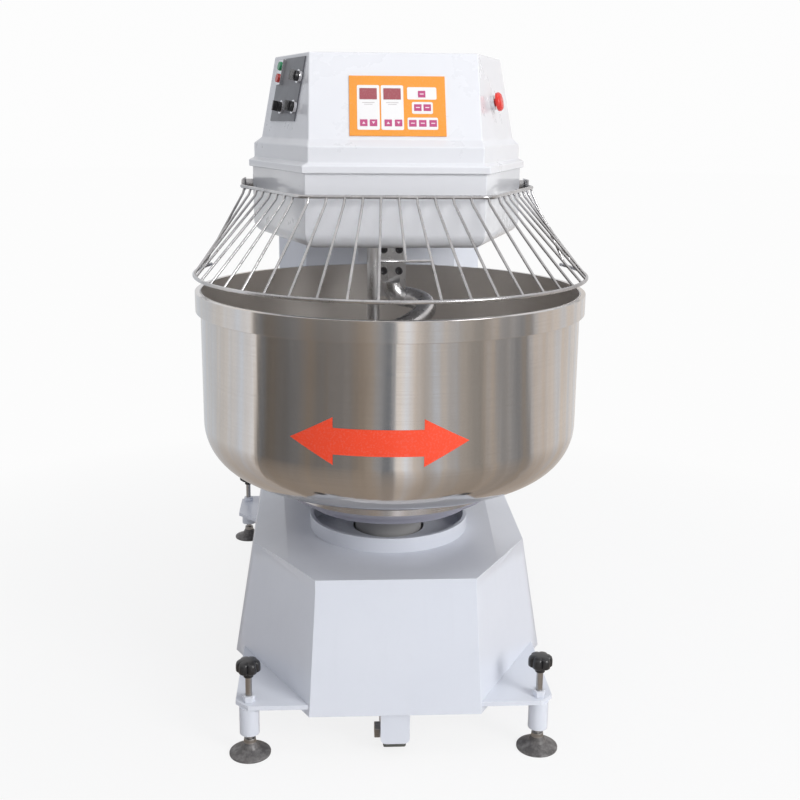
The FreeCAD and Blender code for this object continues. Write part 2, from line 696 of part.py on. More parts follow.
def head_pan():
    """Moulded pan under the head, its lower edge well rounded."""
    body = body_of("pan_body")
    plan = [("pan_front_half", "pan_front"), ("pan_half", "pan_side_y"), ("pan_half", "casing_rear")]
    outer = outline(body, "pan_outside", "pan_bottom_z", plan, shares=HEAD_SHARES)
    block = pad(body, outer, "pan_top_z - pan_bottom_z")
    doc.recompute()
    low = value("pan_bottom_z")
    rear = value("casing_rear")
    edges = []
    for number, edge in enumerate(block.Shape.Edges, start=1):
        limits = edge.BoundBox
        if abs(limits.ZMin - low) < 0.1 and limits.ZLength < 0.1 and limits.YMin < rear - 0.1:
            edges.append(f"Edge{number}")
    rounding = body.newObject("PartDesign::Fillet", "pan_rounding")
    rounding.Base = (block, edges)
    bind(rounding, Radius="pan_corner")
    doc.recompute()
    top = value("pan_top_z")
    faces = [f"Face{k}" for k, face in enumerate(rounding.Shape.Faces, start=1)
             if face.BoundBox.ZMin > top - 0.1]
    hollow = body.newObject("PartDesign::Thickness", "pan_hollow")
    hollow.Base = (rounding, faces)
    hollow.Reversed = True
    bind(hollow, Value="head_wall")
    hole = rod("spindle_hole", "spindle_radius + spindle_gap", "head_wall * 3", "spiral_x", "spiral_y",
               "pan_bottom_z - head_wall")
    inside = "column_front_half - casing_wall * 2"
    shaft = box("pan_shaft", f"({inside}) * 2", "casing_rear - column_front - casing_wall * 8", "head_wall * 3",
                f"-({inside})", "column_front + casing_wall * 4", "pan_bottom_z - head_wall")
    return keep(cut("pan_cut", body, [hole, shaft]), "head_pan")


def head_levels():
    """Plan of the head cover at each change of slope, from the lip upwards."""
    rear = "casing_rear"
    lip = [("pan_front_half + lip_reach * 0.7", "pan_front - lip_reach"), ("pan_half + lip_reach", "pan_side_y"),
           ("pan_half + lip_reach", rear)]
    band = [("pan_front_half - band_inset * 0.45", "pan_front - lip_reach + band_inset"),
            ("pan_half + lip_reach - band_inset", "pan_side_y"), ("pan_half + lip_reach - band_inset", rear)]
    face = [("face_front_half", "face_front"), ("face_half", "face_side_y"), ("face_half", f"{rear} - 8")]
    side_slope = "(face_side_y - face_front) / (face_half - face_front_half)"
    top_side_y = f"top_front + (top_half - top_front_half) * {side_slope}"
    top = [("top_front_half", "top_front"), ("top_half", top_side_y), ("top_half", f"{rear} - 30")]
    return [
        ("pan_top_z", lip),
        ("pan_top_z + lip_height", lip),
        ("pan_top_z + lip_height + 6", band),
        ("band_top_z", band),
        ("face_z", face),
        ("head_top_z", top),
    ]


def head_cover():
    """Moulded cover over the drive: lip, upright band, flared skirt and sloping faces."""
    wall = "head_wall"
    insets = ["lip_reach + head_wall", "lip_reach + head_wall", wall, wall, wall, wall]
    drops = ["0", "0", "0", "0", wall, wall]
    body = tapered_shell("head_shell", head_levels(), insets, drops, HEAD_SHARES)
    return keep(body, "head_cover")


# ------------------------------------------------------------- frame and drives
LEG_INSIDE = "(bowl_pulley_radius + belt_gap + belt_thickness + leg_gap)"
SEAT_HALF = f"({LEG_INSIDE} + frame_sheet + seat_edge)"


def support_frame():
    """Welded plates: seat of the bowl's bearings, column plates, shelves, deck and arms."""
    plate_top = "plate_z + plate_thickness"
    pieces = [
        box("seat", f"{SEAT_HALF} * 2", "seat_reach * 2", "seat_plate", f"-{SEAT_HALF}", "-seat_reach",
            "seat_plate_z"),
        box("deck", "(post_half + frame_sheet) * 2", "post_rear - deck_front", "frame_sheet",
            "-(post_half + frame_sheet)", "deck_front", "deck_z"),
        box("gearbox_shelf", "post_half * 2", "shelf_depth", "frame_sheet", "-post_half", "post_front", "shelf_z"),
        box("box_shelf", "post_half * 2", "shelf_depth", "frame_sheet", "-post_half", "post_front",
            "box_shelf_z - frame_sheet"),
    ]
    for name, side in SIDES:
        post_x = "post_half" if side > 0 else "-(post_half + frame_sheet)"
        arm_x = "arm_half" if side > 0 else "-(arm_half + frame_sheet)"
        leg_x = LEG_INSIDE if side > 0 else f"-({LEG_INSIDE} + frame_sheet)"
        pieces += [
            box(f"post_{name}", "frame_sheet", "post_rear - post_front", f"deck_z - ({plate_top})", post_x,
                "post_front", plate_top),
            box(f"arm_{name}", "frame_sheet", "post_rear - deck_front", "deck_z - arm_bottom_z", arm_x,
                "deck_front", "arm_bottom_z"),
            box(f"leg_{name}", "frame_sheet", "seat_reach * 2", f"seat_plate_z - ({plate_top})", leg_x,
                "-seat_reach", plate_top),
            box(f"rail_{name}", f"{SEAT_HALF} - post_half", "post_front + rail_lap - seat_reach", "seat_plate",
                "post_half" if side > 0 else f"-{SEAT_HALF}", "seat_reach", "seat_plate_z"),
        ]
    holes = [
        rod("seat_hole", "housing_radius + screw_gap", "seat_plate * 3", "0", "0", "seat_plate_z - seat_plate"),
        rod("deck_hole", "spindle_housing_radius + screw_gap", "frame_sheet * 3", "spiral_x", "spiral_y",
            "deck_z - frame_sheet"),
        rod("deck_shaft_hole", "motor_shaft_radius * 1.6", "frame_sheet * 3", "spiral_x", "spiral_motor_y",
            "deck_z - frame_sheet"),
        rod("shelf_hole", "small_motor_radius + screw_gap", "frame_sheet * 3", "0", "bowl_motor_y",
            "shelf_z - frame_sheet"),
    ]
    return keep(cut("support_frame_cut", fuse("support_frame_plates", pieces), holes), "support_frame")


def bowl_collar():
    """Rolled ring on the roof round the turntable."""
    points = [(r, z) for r, z in (
        ("collar_radius - collar_wall", "roof_z"), ("collar_radius", "roof_z"),
        ("collar_radius", "roof_z + collar_height"), ("collar_radius - collar_wall", "roof_z + collar_height"))]
    return keep(turned("collar_body", points), "bowl_collar")


def bearing_housing(name, label, bore, outside, flange, bearing_width, low, high, flange_z, x, y):
    """A flanged tube with a shoulder below its upper bearing and above its lower one."""
    seat = f"{bore} + screw_gap / 2"
    step = f"{bore} - 8"
    points = [
        (seat, low), (outside, low), (outside, flange_z), (flange, flange_z), (flange, f"{flange_z} + seat_plate"),
        (outside, f"{flange_z} + seat_plate"), (outside, high), (seat, high), (seat, f"{high} - {bearing_width}"),
        (step, f"{high} - {bearing_width}"), (step, f"{low} + {bearing_width}"), (seat, f"{low} + {bearing_width}"),
    ]
    return keep(stand(turned(name, points), x, y), label)


def bearing(name, bore, outside, width, x, y, z):
    """A bearing as one ring."""
    ring = rod(f"{name}_ring", outside, width, x, y, z)
    return cut(name, ring, [rod(f"{name}_bore", f"{bore} + hinge_fit", f"{width} * 3", x, y, f"{z} - {width}")])


def shaft_bearings():
    """Two bearings for the bowl's shaft and two for the spindle."""
    low = ("shaft_radius", "bearing_radius", "bearing_width", "0", "0")
    high = ("spindle_radius", "spindle_bearing_radius", "spindle_bearing_width", "spiral_x", "spiral_y")
    rings = [
        bearing("bowl_bearing_low", *low, "housing_bottom_z"),
        bearing("bowl_bearing_high", *low, "housing_top_z - bearing_width"),
        bearing("spindle_bearing_low", *high, "spindle_housing_bottom_z"),
        bearing("spindle_bearing_high", *high, "spindle_housing_top_z - spindle_bearing_width"),
    ]
    return keep(group("bearing_group", rings), "shaft_bearings")


def wheel_disc(name, label, bore, radius, low, width, x, y):
    """A large pulley: hub, web and rim."""
    rim = f"{radius} - rim_thickness"
    web_low = f"{low} + {width} / 2 - rim_thickness / 2"
    web_high = f"{low} + {width} / 2 + rim_thickness / 2"
    high = f"{low} + {width}"
    points = [
        (bore, low), ("hub_radius", low), ("hub_radius", web_low), (rim, web_low), (rim, low), (radius, low),
        (radius, high), (rim, high), (rim, web_high), ("hub_radius", web_high), ("hub_radius", high), (bore, high),
    ]
    return keep(stand(turned(name, points), x, y), label)


def motor_pulley(name, label, radius, shaft, low, width, shaft_end, x, y, hanging):
    """A small pulley in one piece with its motor's shaft, below it or above it."""
    high = f"{low} + {width}"
    if hanging:
        points = [("0", low), (radius, low), (radius, high), (shaft, high), (shaft, shaft_end), ("0", shaft_end)]
    else:
        points = [("0", shaft_end), (shaft, shaft_end), (shaft, low), (radius, low), (radius, high), ("0", high)]
    return keep(stand(turned(name, points), x, y), label)


def spiral_motor():
    """Flanged motor below the deck, with its terminal box behind it."""
    foot = "deck_z - motor_length"
    points = [
        ("0", foot), ("motor_radius - 10", foot), ("motor_radius - 6", f"{foot} + 8"),
        ("motor_radius - 6", f"{foot} + 50"), ("motor_radius", f"{foot} + 50"), ("motor_radius", "deck_z"),
        ("motor_shaft_radius + hinge_fit", "deck_z"), ("motor_shaft_radius + hinge_fit", "deck_z - shaft_depth"),
        ("0", "deck_z - shaft_depth"),
    ]
    shell = stand(turned("spiral_motor_body", points), "spiral_x", "spiral_motor_y")
    terminal = box("terminal_box", "110", "50", "95", "spiral_x - 55", "spiral_motor_y + motor_radius - 18",
                   "deck_z - 210")
    return keep(fuse("spiral_motor_fuse", [shell, terminal]), "spiral_motor")


def bowl_motor():
    """Gear motor that hangs from its shelf and stands up through it."""
    side = "gearbox_side / 2"
    gearbox = box("gearbox", "gearbox_side", "gearbox_side", "shelf_z - gearbox_z", f"-({side})",
                  f"bowl_motor_y - {side}", "gearbox_z")
    can = rod("small_motor", "small_motor_radius", "small_motor_top - shelf_z", "0", "bowl_motor_y", "shelf_z")
    bore = rod("gearbox_bore", "small_shaft_radius + hinge_fit", "shaft_depth", "0", "bowl_motor_y", "gearbox_z")
    return keep(cut("bowl_motor_cut", fuse("bowl_motor_fuse", [gearbox, can]), [bore]), "bowl_motor")


def belt_outline(name, near_radius, far_radius, extra, x, near_y, far_y, low, height):
    """Prism round both pulleys: two cylinders and the strip between their tangents."""
    lean = f"asin(({near_radius} - {far_radius}) / ({far_y} - {near_y}))"
    near = f"({near_radius} + {extra})"
    far = f"({far_radius} + {extra})"
    body = body_of(f"{name}_strip")
    sketch = sketch_on(body, f"{name}_plan", "XY_Plane", low)
    right = [
        (f"{near} * cos({lean})", f"{near_y} + {near} * sin({lean})"),
        (f"{far} * cos({lean})", f"{far_y} + {far} * sin({lean})"),
    ]
    polygon(sketch, right + [(f"-({a})", b) for a, b in reversed(right)])
    pad(body, sketch, height)
    stand(body, x)
    ends = [rod(f"{name}_near", near, height, x, near_y, low), rod(f"{name}_far", far, height, x, far_y, low)]
    return fuse(name, [body] + ends)


def drive_belts():
    """Flat ribbed belts of both drives."""
    drives = (
        ("bowl_belt", "bowl_pulley_radius", "bowl_drive_radius", "0", "0", "bowl_motor_y", "low_pulley_z + 6",
         "low_pulley_width - 12"),
        ("spiral_belt", "spiral_pulley_radius", "spiral_drive_radius", "spiral_x", "spiral_y", "spiral_motor_y",
         "high_pulley_z + 6", "high_pulley_width - 12"),
    )
    loops = []
    for name, near, far, x, near_y, far_y, low, height in drives:
        rest = (x, near_y, far_y, low, height)
        outside = belt_outline(f"{name}_outside", near, far, "belt_gap + belt_thickness", *rest)
        inside = belt_outline(f"{name}_inside", near, far, "belt_gap", *rest)
        loops.append(cut(name, outside, [inside]))
    return keep(group("belt_group", loops), "drive_belts")


def electrical_box():
    """Closed steel box with its door, on a shelf between the column plates."""
    case = box("box_case", "box_width", "box_depth", "box_height", "-box_width / 2", "post_front + 20",
               "box_shelf_z")
    door = box("box_door", "box_width - 12", "3", "box_height - 12", "-(box_width - 12) / 2",
               "post_front + 20 + box_depth", "box_shelf_z + 6")
    return keep(fuse("electrical_box_fuse", [case, door]), "electrical_box")


def cable_gland():
    """Gland through the back of the base, with a nut on each side of the sheet."""
    inside = "casing_rear - casing_wall - gland_nut"
    pieces = [
        hexagon("gland_outer_nut", "gland_radius + 4", "gland_nut", "gland_x", "casing_rear", "gland_z", "Y"),
        rod("gland_thread", "gland_radius", "casing_wall", "gland_x", "casing_rear - casing_wall", "gland_z", "Y"),
        hexagon("gland_inner_nut", "gland_radius + 4", "gland_nut", "gland_x", inside, "gland_z", "Y"),
    ]
    bore = rod("gland_through", "gland_bore", "gland_nut * 4", "gland_x", f"{inside} - 2", "gland_z", "Y")
    return keep(cut("cable_gland_cut", fuse("cable_gland_fuse", pieces), [bore]), "cable_gland")


# ------------------------------------------------------------------------- bowl
def bowl_shell():
    """Spun bowl: straight wall, large corner, flat bottom."""
    body = body_of("bowl_body")
    sketch = sketch_on(body, "bowl_plan", "XY_Plane", "bowl_bottom_z")
    circle(sketch, "0", "0", "bowl_radius")
    block = pad(body, sketch, "bowl_rim_z - bowl_bottom_z")
    doc.recompute()
    low = value("bowl_bottom_z")
    high = value("bowl_rim_z")
    edges = [f"Edge{k}" for k, edge in enumerate(block.Shape.Edges, start=1) if edge.BoundBox.ZMax < low + 0.1]
    corner = body.newObject("PartDesign::Fillet", "bowl_corner_fillet")
    corner.Base = (block, edges)
    bind(corner, Radius="bowl_corner")
    doc.recompute()
    faces = [f"Face{k}" for k, face in enumerate(corner.Shape.Faces, start=1) if face.BoundBox.ZMin > high - 0.1]
    hollow = body.newObject("PartDesign::Thickness", "bowl_hollow")
    hollow.Base = (corner, faces)
    hollow.Reversed = True
    bind(hollow, Value="bowl_wall")
    return keep(body, "bowl_shell")


def rim_band():
    """Flat ring welded round the rim."""
    low = "bowl_rim_z - band_height"
    points = [("bowl_radius", low), ("bowl_radius + band_thickness", low),
              ("bowl_radius + band_thickness", "bowl_rim_z"), ("bowl_radius", "bowl_rim_z")]
    return keep(turned("rim_band_body", points), "rim_band")


def direction_arrow():
    """Film on the bowl's wall: an arrow with a head at each end, cut from a thin tube."""
    body = body_of("arrow_plan_body")
    sketch = sketch_on(body, "arrow_plan", "XZ_Plane")
    half = "arrow_length / 2"
    neck = f"{half} - arrow_head"
    right = [
        (neck, "arrow_z - arrow_shaft / 2"), (neck, "arrow_z - arrow_height / 2"), (half, "arrow_z"),
        (neck, "arrow_z + arrow_height / 2"), (neck, "arrow_z + arrow_shaft / 2"),
    ]
    polygon(sketch, right + [(f"-({x})", z) for x, z in reversed(right)])
    pad(body, sketch, "bowl_radius * 1.2")
    body.Placement = Placement(Vector(), Rotation(Vector(0, 0, 1), value("arrow_turn")))
    film = cut("arrow_film", rod("film_outside", "bowl_radius + film_thickness", "arrow_height * 2", "0", "0",
                                 "arrow_z - arrow_height"),
               [rod("film_inside", "bowl_radius", "arrow_height * 3", "0", "0", "arrow_z - arrow_height * 1.5")])
    item = doc.addObject("Part::Common", "arrow_common")
    item.Base = film
    item.Tool = body
    return keep(item, "direction_arrow")


def bowl_turntable():
    """Painted disc, steel flange and neck under the bowl."""
    points = [
        ("0", "turntable_z"), ("turntable_radius", "turntable_z"), ("turntable_radius", "flange_z"),
        ("flange_radius", "flange_z"), ("flange_radius", "flange_z + flange_edge"),
        ("flange_neck", "flange_z + flange_edge + 12"), ("flange_neck", "bowl_bottom_z"), ("0", "bowl_bottom_z"),
    ]
    return keep(turned("turntable_body", points), "bowl_turntable")


def bowl_shaft():
    """Shaft from the turntable down through the pulley."""
    low = "low_pulley_z - 10"
    return keep(rod("bowl_shaft_rod", "shaft_radius", f"turntable_z - ({low})", "0", "0", low), "bowl_shaft")


# ----------------------------------------------------------------------- spiral
HOOK_TURNS = (  # degrees from +X towards the front, reach as a share of hook_radius, height above hook_bottom_z
    (20, 0.54, 0.960), (49, 0.70, 0.903), (78, 0.86, 0.836), (108, 0.97, 0.758), (140, 1.0, 0.672),
    (180, 1.0, 0.575), (225, 1.0, 0.472), (270, 1.0, 0.370), (315, 1.0, 0.268), (360, 1.0, 0.176),
    (405, 1.0, 0.098), (450, 0.95, 0.046), (495, 0.88, 0.016), (540, 0.78, 0.003), (590, 0.66, 0.0),
)


def hook_line():
    """Middle line of the hook's bar: down from the shank, out, and round to the bottom."""
    shank = Vector(value("spiral_x"), value("spiral_y") - value("palm_thickness") / 2, value("palm_bottom_z"))
    bend = value("hook_bend")
    points = [shank]
    for part_turn in (30, 60, 90):
        angle = math.radians(part_turn)
        points.append(shank + Vector(bend * (1 - math.cos(angle)), 0, -bend * math.sin(angle)))
    top = points[-1].z - value("hook_bottom_z")
    for turn, reach, height in HOOK_TURNS:
        angle = math.radians(turn)
        radius = reach * value("hook_radius")
        points.append(Vector(value("spiral_x") + radius * math.cos(angle),
                             value("spiral_y") - radius * math.sin(angle),
                             value("hook_bottom_z") + height * top))
    curve = Part.BSplineCurve()
    curve.interpolate(points)
    return [curve.toShape()]


def palm_screw_rods(name, radius, length, y):
    """One rod along Y at each of the palm's four screw places."""
    rods = []
    for side in ("-", "+"):
        for level in ("-", "+"):
            x = f"spiral_x {side} screw_pitch_x / 2"
            z = f"(palm_bottom_z + palm_top_z) / 2 {level} screw_pitch_z / 2"
            rods.append(rod(f"{name}_{len(rods)}", radius, length, x, y, z, "Y"))
    return rods


def spiral_hook():
    """Flat palm and shank, and the round bar wound down from it."""
    edges = hook_line()
    bar = swept(edges, value("hook_rod"))
    last = edges[-1]
    end = Part.makeSphere(value("hook_rod"), last.valueAt(last.LastParameter))
    hook = shaped("hook_bar", [bar.fuse(end)])
    palm = box("palm", "palm_width", "palm_thickness", "palm_top_z - shank_z", "spiral_x - palm_width / 2",
               "spiral_y - palm_thickness", "shank_z")
    holes = palm_screw_rods("palm_hole", "palm_screw_radius + screw_gap", "palm_thickness * 2",
                            "spiral_y - palm_thickness * 1.5")
    return keep(cut("spiral_hook_cut", fuse("spiral_hook_fuse", [palm, hook]), holes), "spiral_hook")


def spindle():
    """Spindle with a flat tongue behind the hook's palm."""
    shoulder = "palm_top_z + palm_gap"
    shaft = rod("spindle_rod", "spindle_radius", f"spindle_top_z - ({shoulder})", "spiral_x", "spiral_y", shoulder)
    tongue_bottom = "palm_bottom_z + tongue_gap"
    tongue = box("tongue", "palm_width", "palm_thickness", f"{shoulder} + tongue_root - ({tongue_bottom})",
                 "spiral_x - palm_width / 2", "spiral_y", tongue_bottom)
    holes = palm_screw_rods("tongue_hole", "palm_screw_radius + screw_gap", "palm_thickness * 2",
                            "spiral_y - palm_thickness / 2")
    return keep(cut("spindle_cut", fuse("spindle_fuse", [shaft, tongue]), holes), "spindle")


def palm_screws():
    """Four socket screws through palm and tongue."""
    front = "spiral_y - palm_thickness"
    heads = palm_screw_rods("palm_head", "screw_head_radius", "screw_head_height", f"{front} - screw_head_height")
    shanks = palm_screw_rods("palm_shank", "palm_screw_radius", "palm_thickness * 2", front)
    sockets = palm_screw_rods("palm_socket", "screw_head_radius * 0.5", "screw_head_height",
                              f"{front} - screw_head_height * 1.5")
    screws = []
    for k, (head, shank, socket) in enumerate(zip(heads, shanks, sockets)):
        screws.append(cut(f"palm_screw_{k}", fuse(f"palm_screw_solid_{k}", [head, shank]), [socket]))
    return keep(group("palm_screw_group", screws), "palm_screws")


def breaker_bar():
    """Fixed bar at the bowl's middle, with its mounting plate and gusset."""
    plate = box("breaker_plate_box", "breaker_plate_half * 2", "breaker_plate_half * 2", "breaker_plate",
                "breaker_x - breaker_plate_half", "breaker_y - breaker_plate_half", "pan_bottom_z - breaker_plate")
    bar = rod("breaker_rod", "breaker_radius", "pan_bottom_z - breaker_bottom_z", "breaker_x", "breaker_y",
              "breaker_bottom_z")
    gusset = box("breaker_gusset_box", "breaker_gusset + breaker_radius", "breaker_gusset_sheet",
                 "breaker_gusset_height", "breaker_x - breaker_radius - breaker_gusset",
                 "breaker_y - breaker_gusset_sheet / 2", "pan_bottom_z - breaker_plate - breaker_gusset_height")
    return keep(fuse("breaker_fuse", [plate, bar, gusset]), "breaker_bar")


# ------------------------------------------------------------------------ guard
def high_ring_line():
    """Middle line of the upper ring, from its left end to its right end."""
    half = value("guard_side_half")
    right = [
        (value("guard_front_half"), value("guard_front_y")),
        (half, value("guard_side_y")),
        (half, value("arm_front_y")),
    ]
    corners = [(-x, y) for x, y in reversed(right)] + right
    return bent([Vector(x, y, value("guard_high_z")) for x, y in corners], value("guard_bend"))


def low_point(number_of_wire):
    """Lower end of a wire, on the lower ring's middle line."""
    angle = math.radians(value("wire_start") + value("wire_step") * number_of_wire)
    radius = value("guard_low_radius")
    return Vector(radius * math.sin(angle), -radius * math.cos(angle), value("guard_low_z"))


KNEE_SHARE = 0.04  # of the way from the upper ring to the lower one


def wire_corners(number_of_wire, ring_points, ring_length):
    """Upper end, knee and lower end of a wire."""
    side = 1 if number_of_wire > 0 else -1
    front = min(abs(number_of_wire), value("front_wires"))
    rest = abs(number_of_wire) - front
    along = value("wire_offset") + side * (front * value("wire_pitch") + rest * value("wire_pitch_side"))
    place = round((along / ring_length + 0.5) * (len(ring_points) - 1))
    high = ring_points[place]
    low = low_point(number_of_wire)
    knee = high + (low - high) * KNEE_SHARE
    knee.z = high.z - value("wire_knee")
    return [high, knee, low]


def guard_wires(rings):
    """Round wires between the rings, and the short bar over the feeding gap in the middle."""
    line = Part.Wire(high_ring_line())
    ring_points = line.discretize(Number=2001)
    radius = value("wire_rod")
    reach = int(value("wires_each_side"))
    feed_z = value("guard_low_z") + value("feed_share") * (value("guard_high_z") - value("guard_low_z"))
    feed_ends = []
    wires = []
    for k in range(-reach, reach + 1):
        high, knee, low = wire_corners(k, ring_points, line.Length)
        crossing = low + (knee - low) * ((feed_z - low.z) / (knee.z - low.z))
        if k in (-1, 1):
            feed_ends.append(crossing)
        bottom = crossing if k == 0 else low
        wires.append(swept(bent([high, knee, bottom], value("wire_bend")), radius))
    wires.append(swept([Part.LineSegment(*feed_ends).toShape()], radius))
    raw = shaped("guard_wires_raw", [wires[0].multiFuse(wires[1:])])
    item = cut("guard_wires_cut", raw, rings, refine=False)
    return keep(item, "guard_wires")


def low_ring():
    """Lower ring, open at the back."""
    ring = doc.addObject("Part::Torus", "low_ring_torus")
    bind(ring, Radius1="guard_low_radius", Radius2="ring_rod", Angle3="ring_low_turn * 2")
    ring.Placement = Placement(Vector(), Rotation(Vector(0, 0, 1), -90 - value("ring_low_turn")))
    return stand(ring, "0", "0", "guard_low_z")


def guard():
    """Tilting guard: two rings, the wires between them and two hinge arms."""
    high = shaped("high_ring", [swept(high_ring_line(), value("ring_rod"))])
    low = low_ring()
    guard_wires([high, low])
    keep(high, "guard_upper_ring")
    keep(low, "guard_lower_ring")
    arms = []
    for name, side in SIDES:
        x = f"{side} * guard_side_half - arm_sheet / 2"
        arm = box(f"arm_plate_{name}", "arm_sheet", "hinge_y + arm_width / 2 - arm_front_y", "arm_width", x,
                  "arm_front_y", "guard_high_z - arm_width / 2")
        hole = rod(f"arm_hole_{name}", "hinge_pin + hinge_fit", "arm_sheet * 3", f"{x} - arm_sheet", "hinge_y",
                   "guard_high_z", "X")
        arms.append(cut(f"arm_{name}_cut", arm, [hole]))
    keep(group("guard_arm_group", arms), "guard_hinge_arms")


def guard_hinge_brackets():
    """Pads on the pan's sides, each with a spacer, a pin and the pin's head."""
    brackets = []
    for name, side in SIDES:
        inner = "pan_half" if side > 0 else "-(guard_side_half + arm_sheet / 2 + 6)"
        spacer = "guard_side_half - arm_sheet / 2 - button_gap - pan_half"
        pin = "guard_side_half + arm_sheet / 2 + 6 - pan_half"
        spacer_x = "pan_half" if side > 0 else f"-(pan_half + {spacer})"
        plate_x = "pan_half" if side > 0 else "-(pan_half + arm_sheet)"
        head = "6 - button_gap"
        head_x = "guard_side_half + arm_sheet / 2 + button_gap"
        head_x = head_x if side > 0 else f"-({head_x} + {head})"
        half = "arm_width * 0.8"
        pieces = [
            box(f"hinge_pad_{name}", "arm_sheet", f"({half}) * 2", f"({half}) * 2", plate_x, f"hinge_y - {half}",
                f"guard_high_z - {half}"),
            rod(f"hinge_spacer_{name}", "hinge_pin * 2", spacer, spacer_x, "hinge_y", "guard_high_z", "X"),
            rod(f"hinge_pin_{name}", "hinge_pin", pin, inner, "hinge_y", "guard_high_z", "X"),
            rod(f"hinge_head_{name}", "hinge_pin * 1.8", head, head_x, "hinge_y", "guard_high_z", "X"),
        ]
        brackets.append(fuse(f"hinge_bracket_{name}", pieces))
    return keep(group("hinge_bracket_group", brackets), "guard_hinge_brackets")


# --------------------------------------------------------------------- controls
DISPLAYS = ((-60.5, 27), (-10.8, 27))
KEYS = ((-70.3, -40.5), (-50.2, -40.5), (-19.9, -40.5), (1.4, -40.5), (50.7, 27), (42, -4.5), (61.5, -4.5),
        (30.8, -41), (51.3, -41), (72.8, -41))


def tiles(name, places, width, height):
    """Flat rectangles on the panel, about its middle."""
    boxes = []
    for k, (x, y) in enumerate(places):
        boxes.append(box(f"{name}_{k}", width, height, "film_height", f"panel_x + {x} - {width} / 2",
                         f"panel_rise + {y} - {height} / 2", "panel_sheet"))
    return group(f"{name}_group", boxes)


def control_panel():
    """Panel on the front slope, with its displays and its membrane keys."""
    face = box("panel_face", "panel_width", "panel_height", "panel_sheet", "panel_x - panel_width / 2",
               "panel_rise - panel_height / 2", "0")
    keep(on_slope(group("panel_face_group", [face]), 0), "control_panel")
    keep(on_slope(tiles("display", DISPLAYS, "display_width", "display_height"), 0), "panel_displays")
    keep(on_slope(tiles("key", KEYS, "key_side", "key_side"), 0), "panel_keys")


SELECTORS = (("selector_upper", "switch_near", "+"), ("selector_lower", "switch_near", "-"),
             ("selector_rear", "switch_near + switch_pitch", "-"))
PUSHES = (("green_button", "+"), ("red_button", "-"))
PUSH_MIDDLE = ("-(switch_near + push_along)", "switch_rise + switch_drop / 2 + push_lift")


def switch_bezels():
    """Bezels of the three selectors, of the pair of push buttons and of the emergency stop."""
    bezels = []
    for name, along, level in SELECTORS:
        place = (f"-({along})", f"switch_rise {level} switch_drop / 2")
        ring = rod(f"{name}_bezel", "bezel_radius", "bezel_height", *place, "switch_plate_sheet")
        bore = rod(f"{name}_bore", "knob_stem + hinge_fit", "bezel_height * 3", *place, "0")
        bezels.append(cut(f"{name}_ring", ring, [bore]))
    x, y = PUSH_MIDDLE
    frame = box("push_frame", "bezel_radius * 2", "push_pitch * 2 + 2", "push_bezel_height", f"{x} - bezel_radius",
                f"{y} - push_pitch - 1", "switch_plate_sheet")
    holes = [rod(f"{name}_hole", "push_radius + button_gap", "push_bezel_height * 3", x,
                 f"{y} {level} push_pitch / 2", "0") for name, level in PUSHES]
    bezels.append(cut("push_frame_cut", frame, holes))
    stop_base = cut("stop_base_cut", rod("stop_base_rod", "stop_base", "stop_base_height"),
                    [rod("stop_base_bore", "stop_stem + hinge_fit", "stop_base_height * 2", "0", "0", "3")])
    on_slope(stop_base, 1, "stop_along", "stop_rise")
    left = on_slope(group("bezel_group", bezels), -1)
    return keep(group("bezels_both_sides", [left, stop_base]), "switch_bezels")


def controls():
    """Switch plate and its bezels, the moving knobs and buttons, and the emergency stop."""
    plate = box("switch_plate_box", "switch_plate_width", "switch_plate_height", "switch_plate_sheet",
                "-(switch_plate_along + switch_plate_width / 2)", "switch_plate_rise - switch_plate_height / 2", "0")
    keep(on_slope(group("switch_plate_group", [plate]), -1), "switch_plate")
    switch_bezels()
    lift = "switch_plate_sheet + bezel_height + knob_lift"
    for name, along, level in SELECTORS:
        stem = rod(f"{name}_stem", "knob_stem", "bezel_height + knob_lift - 1", "0", "0", "switch_plate_sheet + 1")
        knob = rod(f"{name}_knob", "knob_radius", "knob_height * 0.4", "0", "0", lift)
        bar = box(f"{name}_grip", "knob_radius * 0.6", "knob_radius * 1.9", "knob_height", "-knob_radius * 0.3",
                  "-knob_radius * 0.95", lift)
        keep(on_slope(fuse(f"{name}_fuse", [stem, knob, bar]), -1, f"-({along})",
                      f"switch_rise {level} switch_drop / 2"), name)
    x, y = PUSH_MIDDLE
    rest = "switch_plate_sheet + push_travel + button_gap"
    for name, level in PUSHES:
        button = rod(f"{name}_rod", "push_radius", f"switch_plate_sheet + push_bezel_height + push_height - ({rest})",
                     "0", "0", rest)
        keep(on_slope(group(f"{name}_group", [button]), -1, x, f"{y} {level} push_pitch / 2"), name)


def emergency_stop():
    """Mushroom button on the right slope."""
    under = "stop_base_height + stop_travel + button_gap"
    points = [
        ("0", "stop_travel + 4"), ("stop_stem", "stop_travel + 4"), ("stop_stem", under), ("stop_radius", under),
        ("stop_radius", f"{under} + stop_height * 0.6"), ("stop_radius * 0.8", f"{under} + stop_height * 0.9"),
        ("stop_radius * 0.45", f"{under} + stop_height"), ("0", f"{under} + stop_height"),
    ]
    keep(on_slope(turned("stop_body", points), 1, "stop_along", "stop_rise"), "emergency_stop")


# --------------------------------------------------------------- feet and wheels
def feet_places():
    """Name, x and y of the four levelling feet."""
    return (
        ("front_left", "-foot_x", "foot_y"), ("front_right", "foot_x", "foot_y"),
        ("rear_left", "-rear_foot_x", "rear_foot_y"), ("rear_right", "rear_foot_x", "rear_foot_y"),
    )


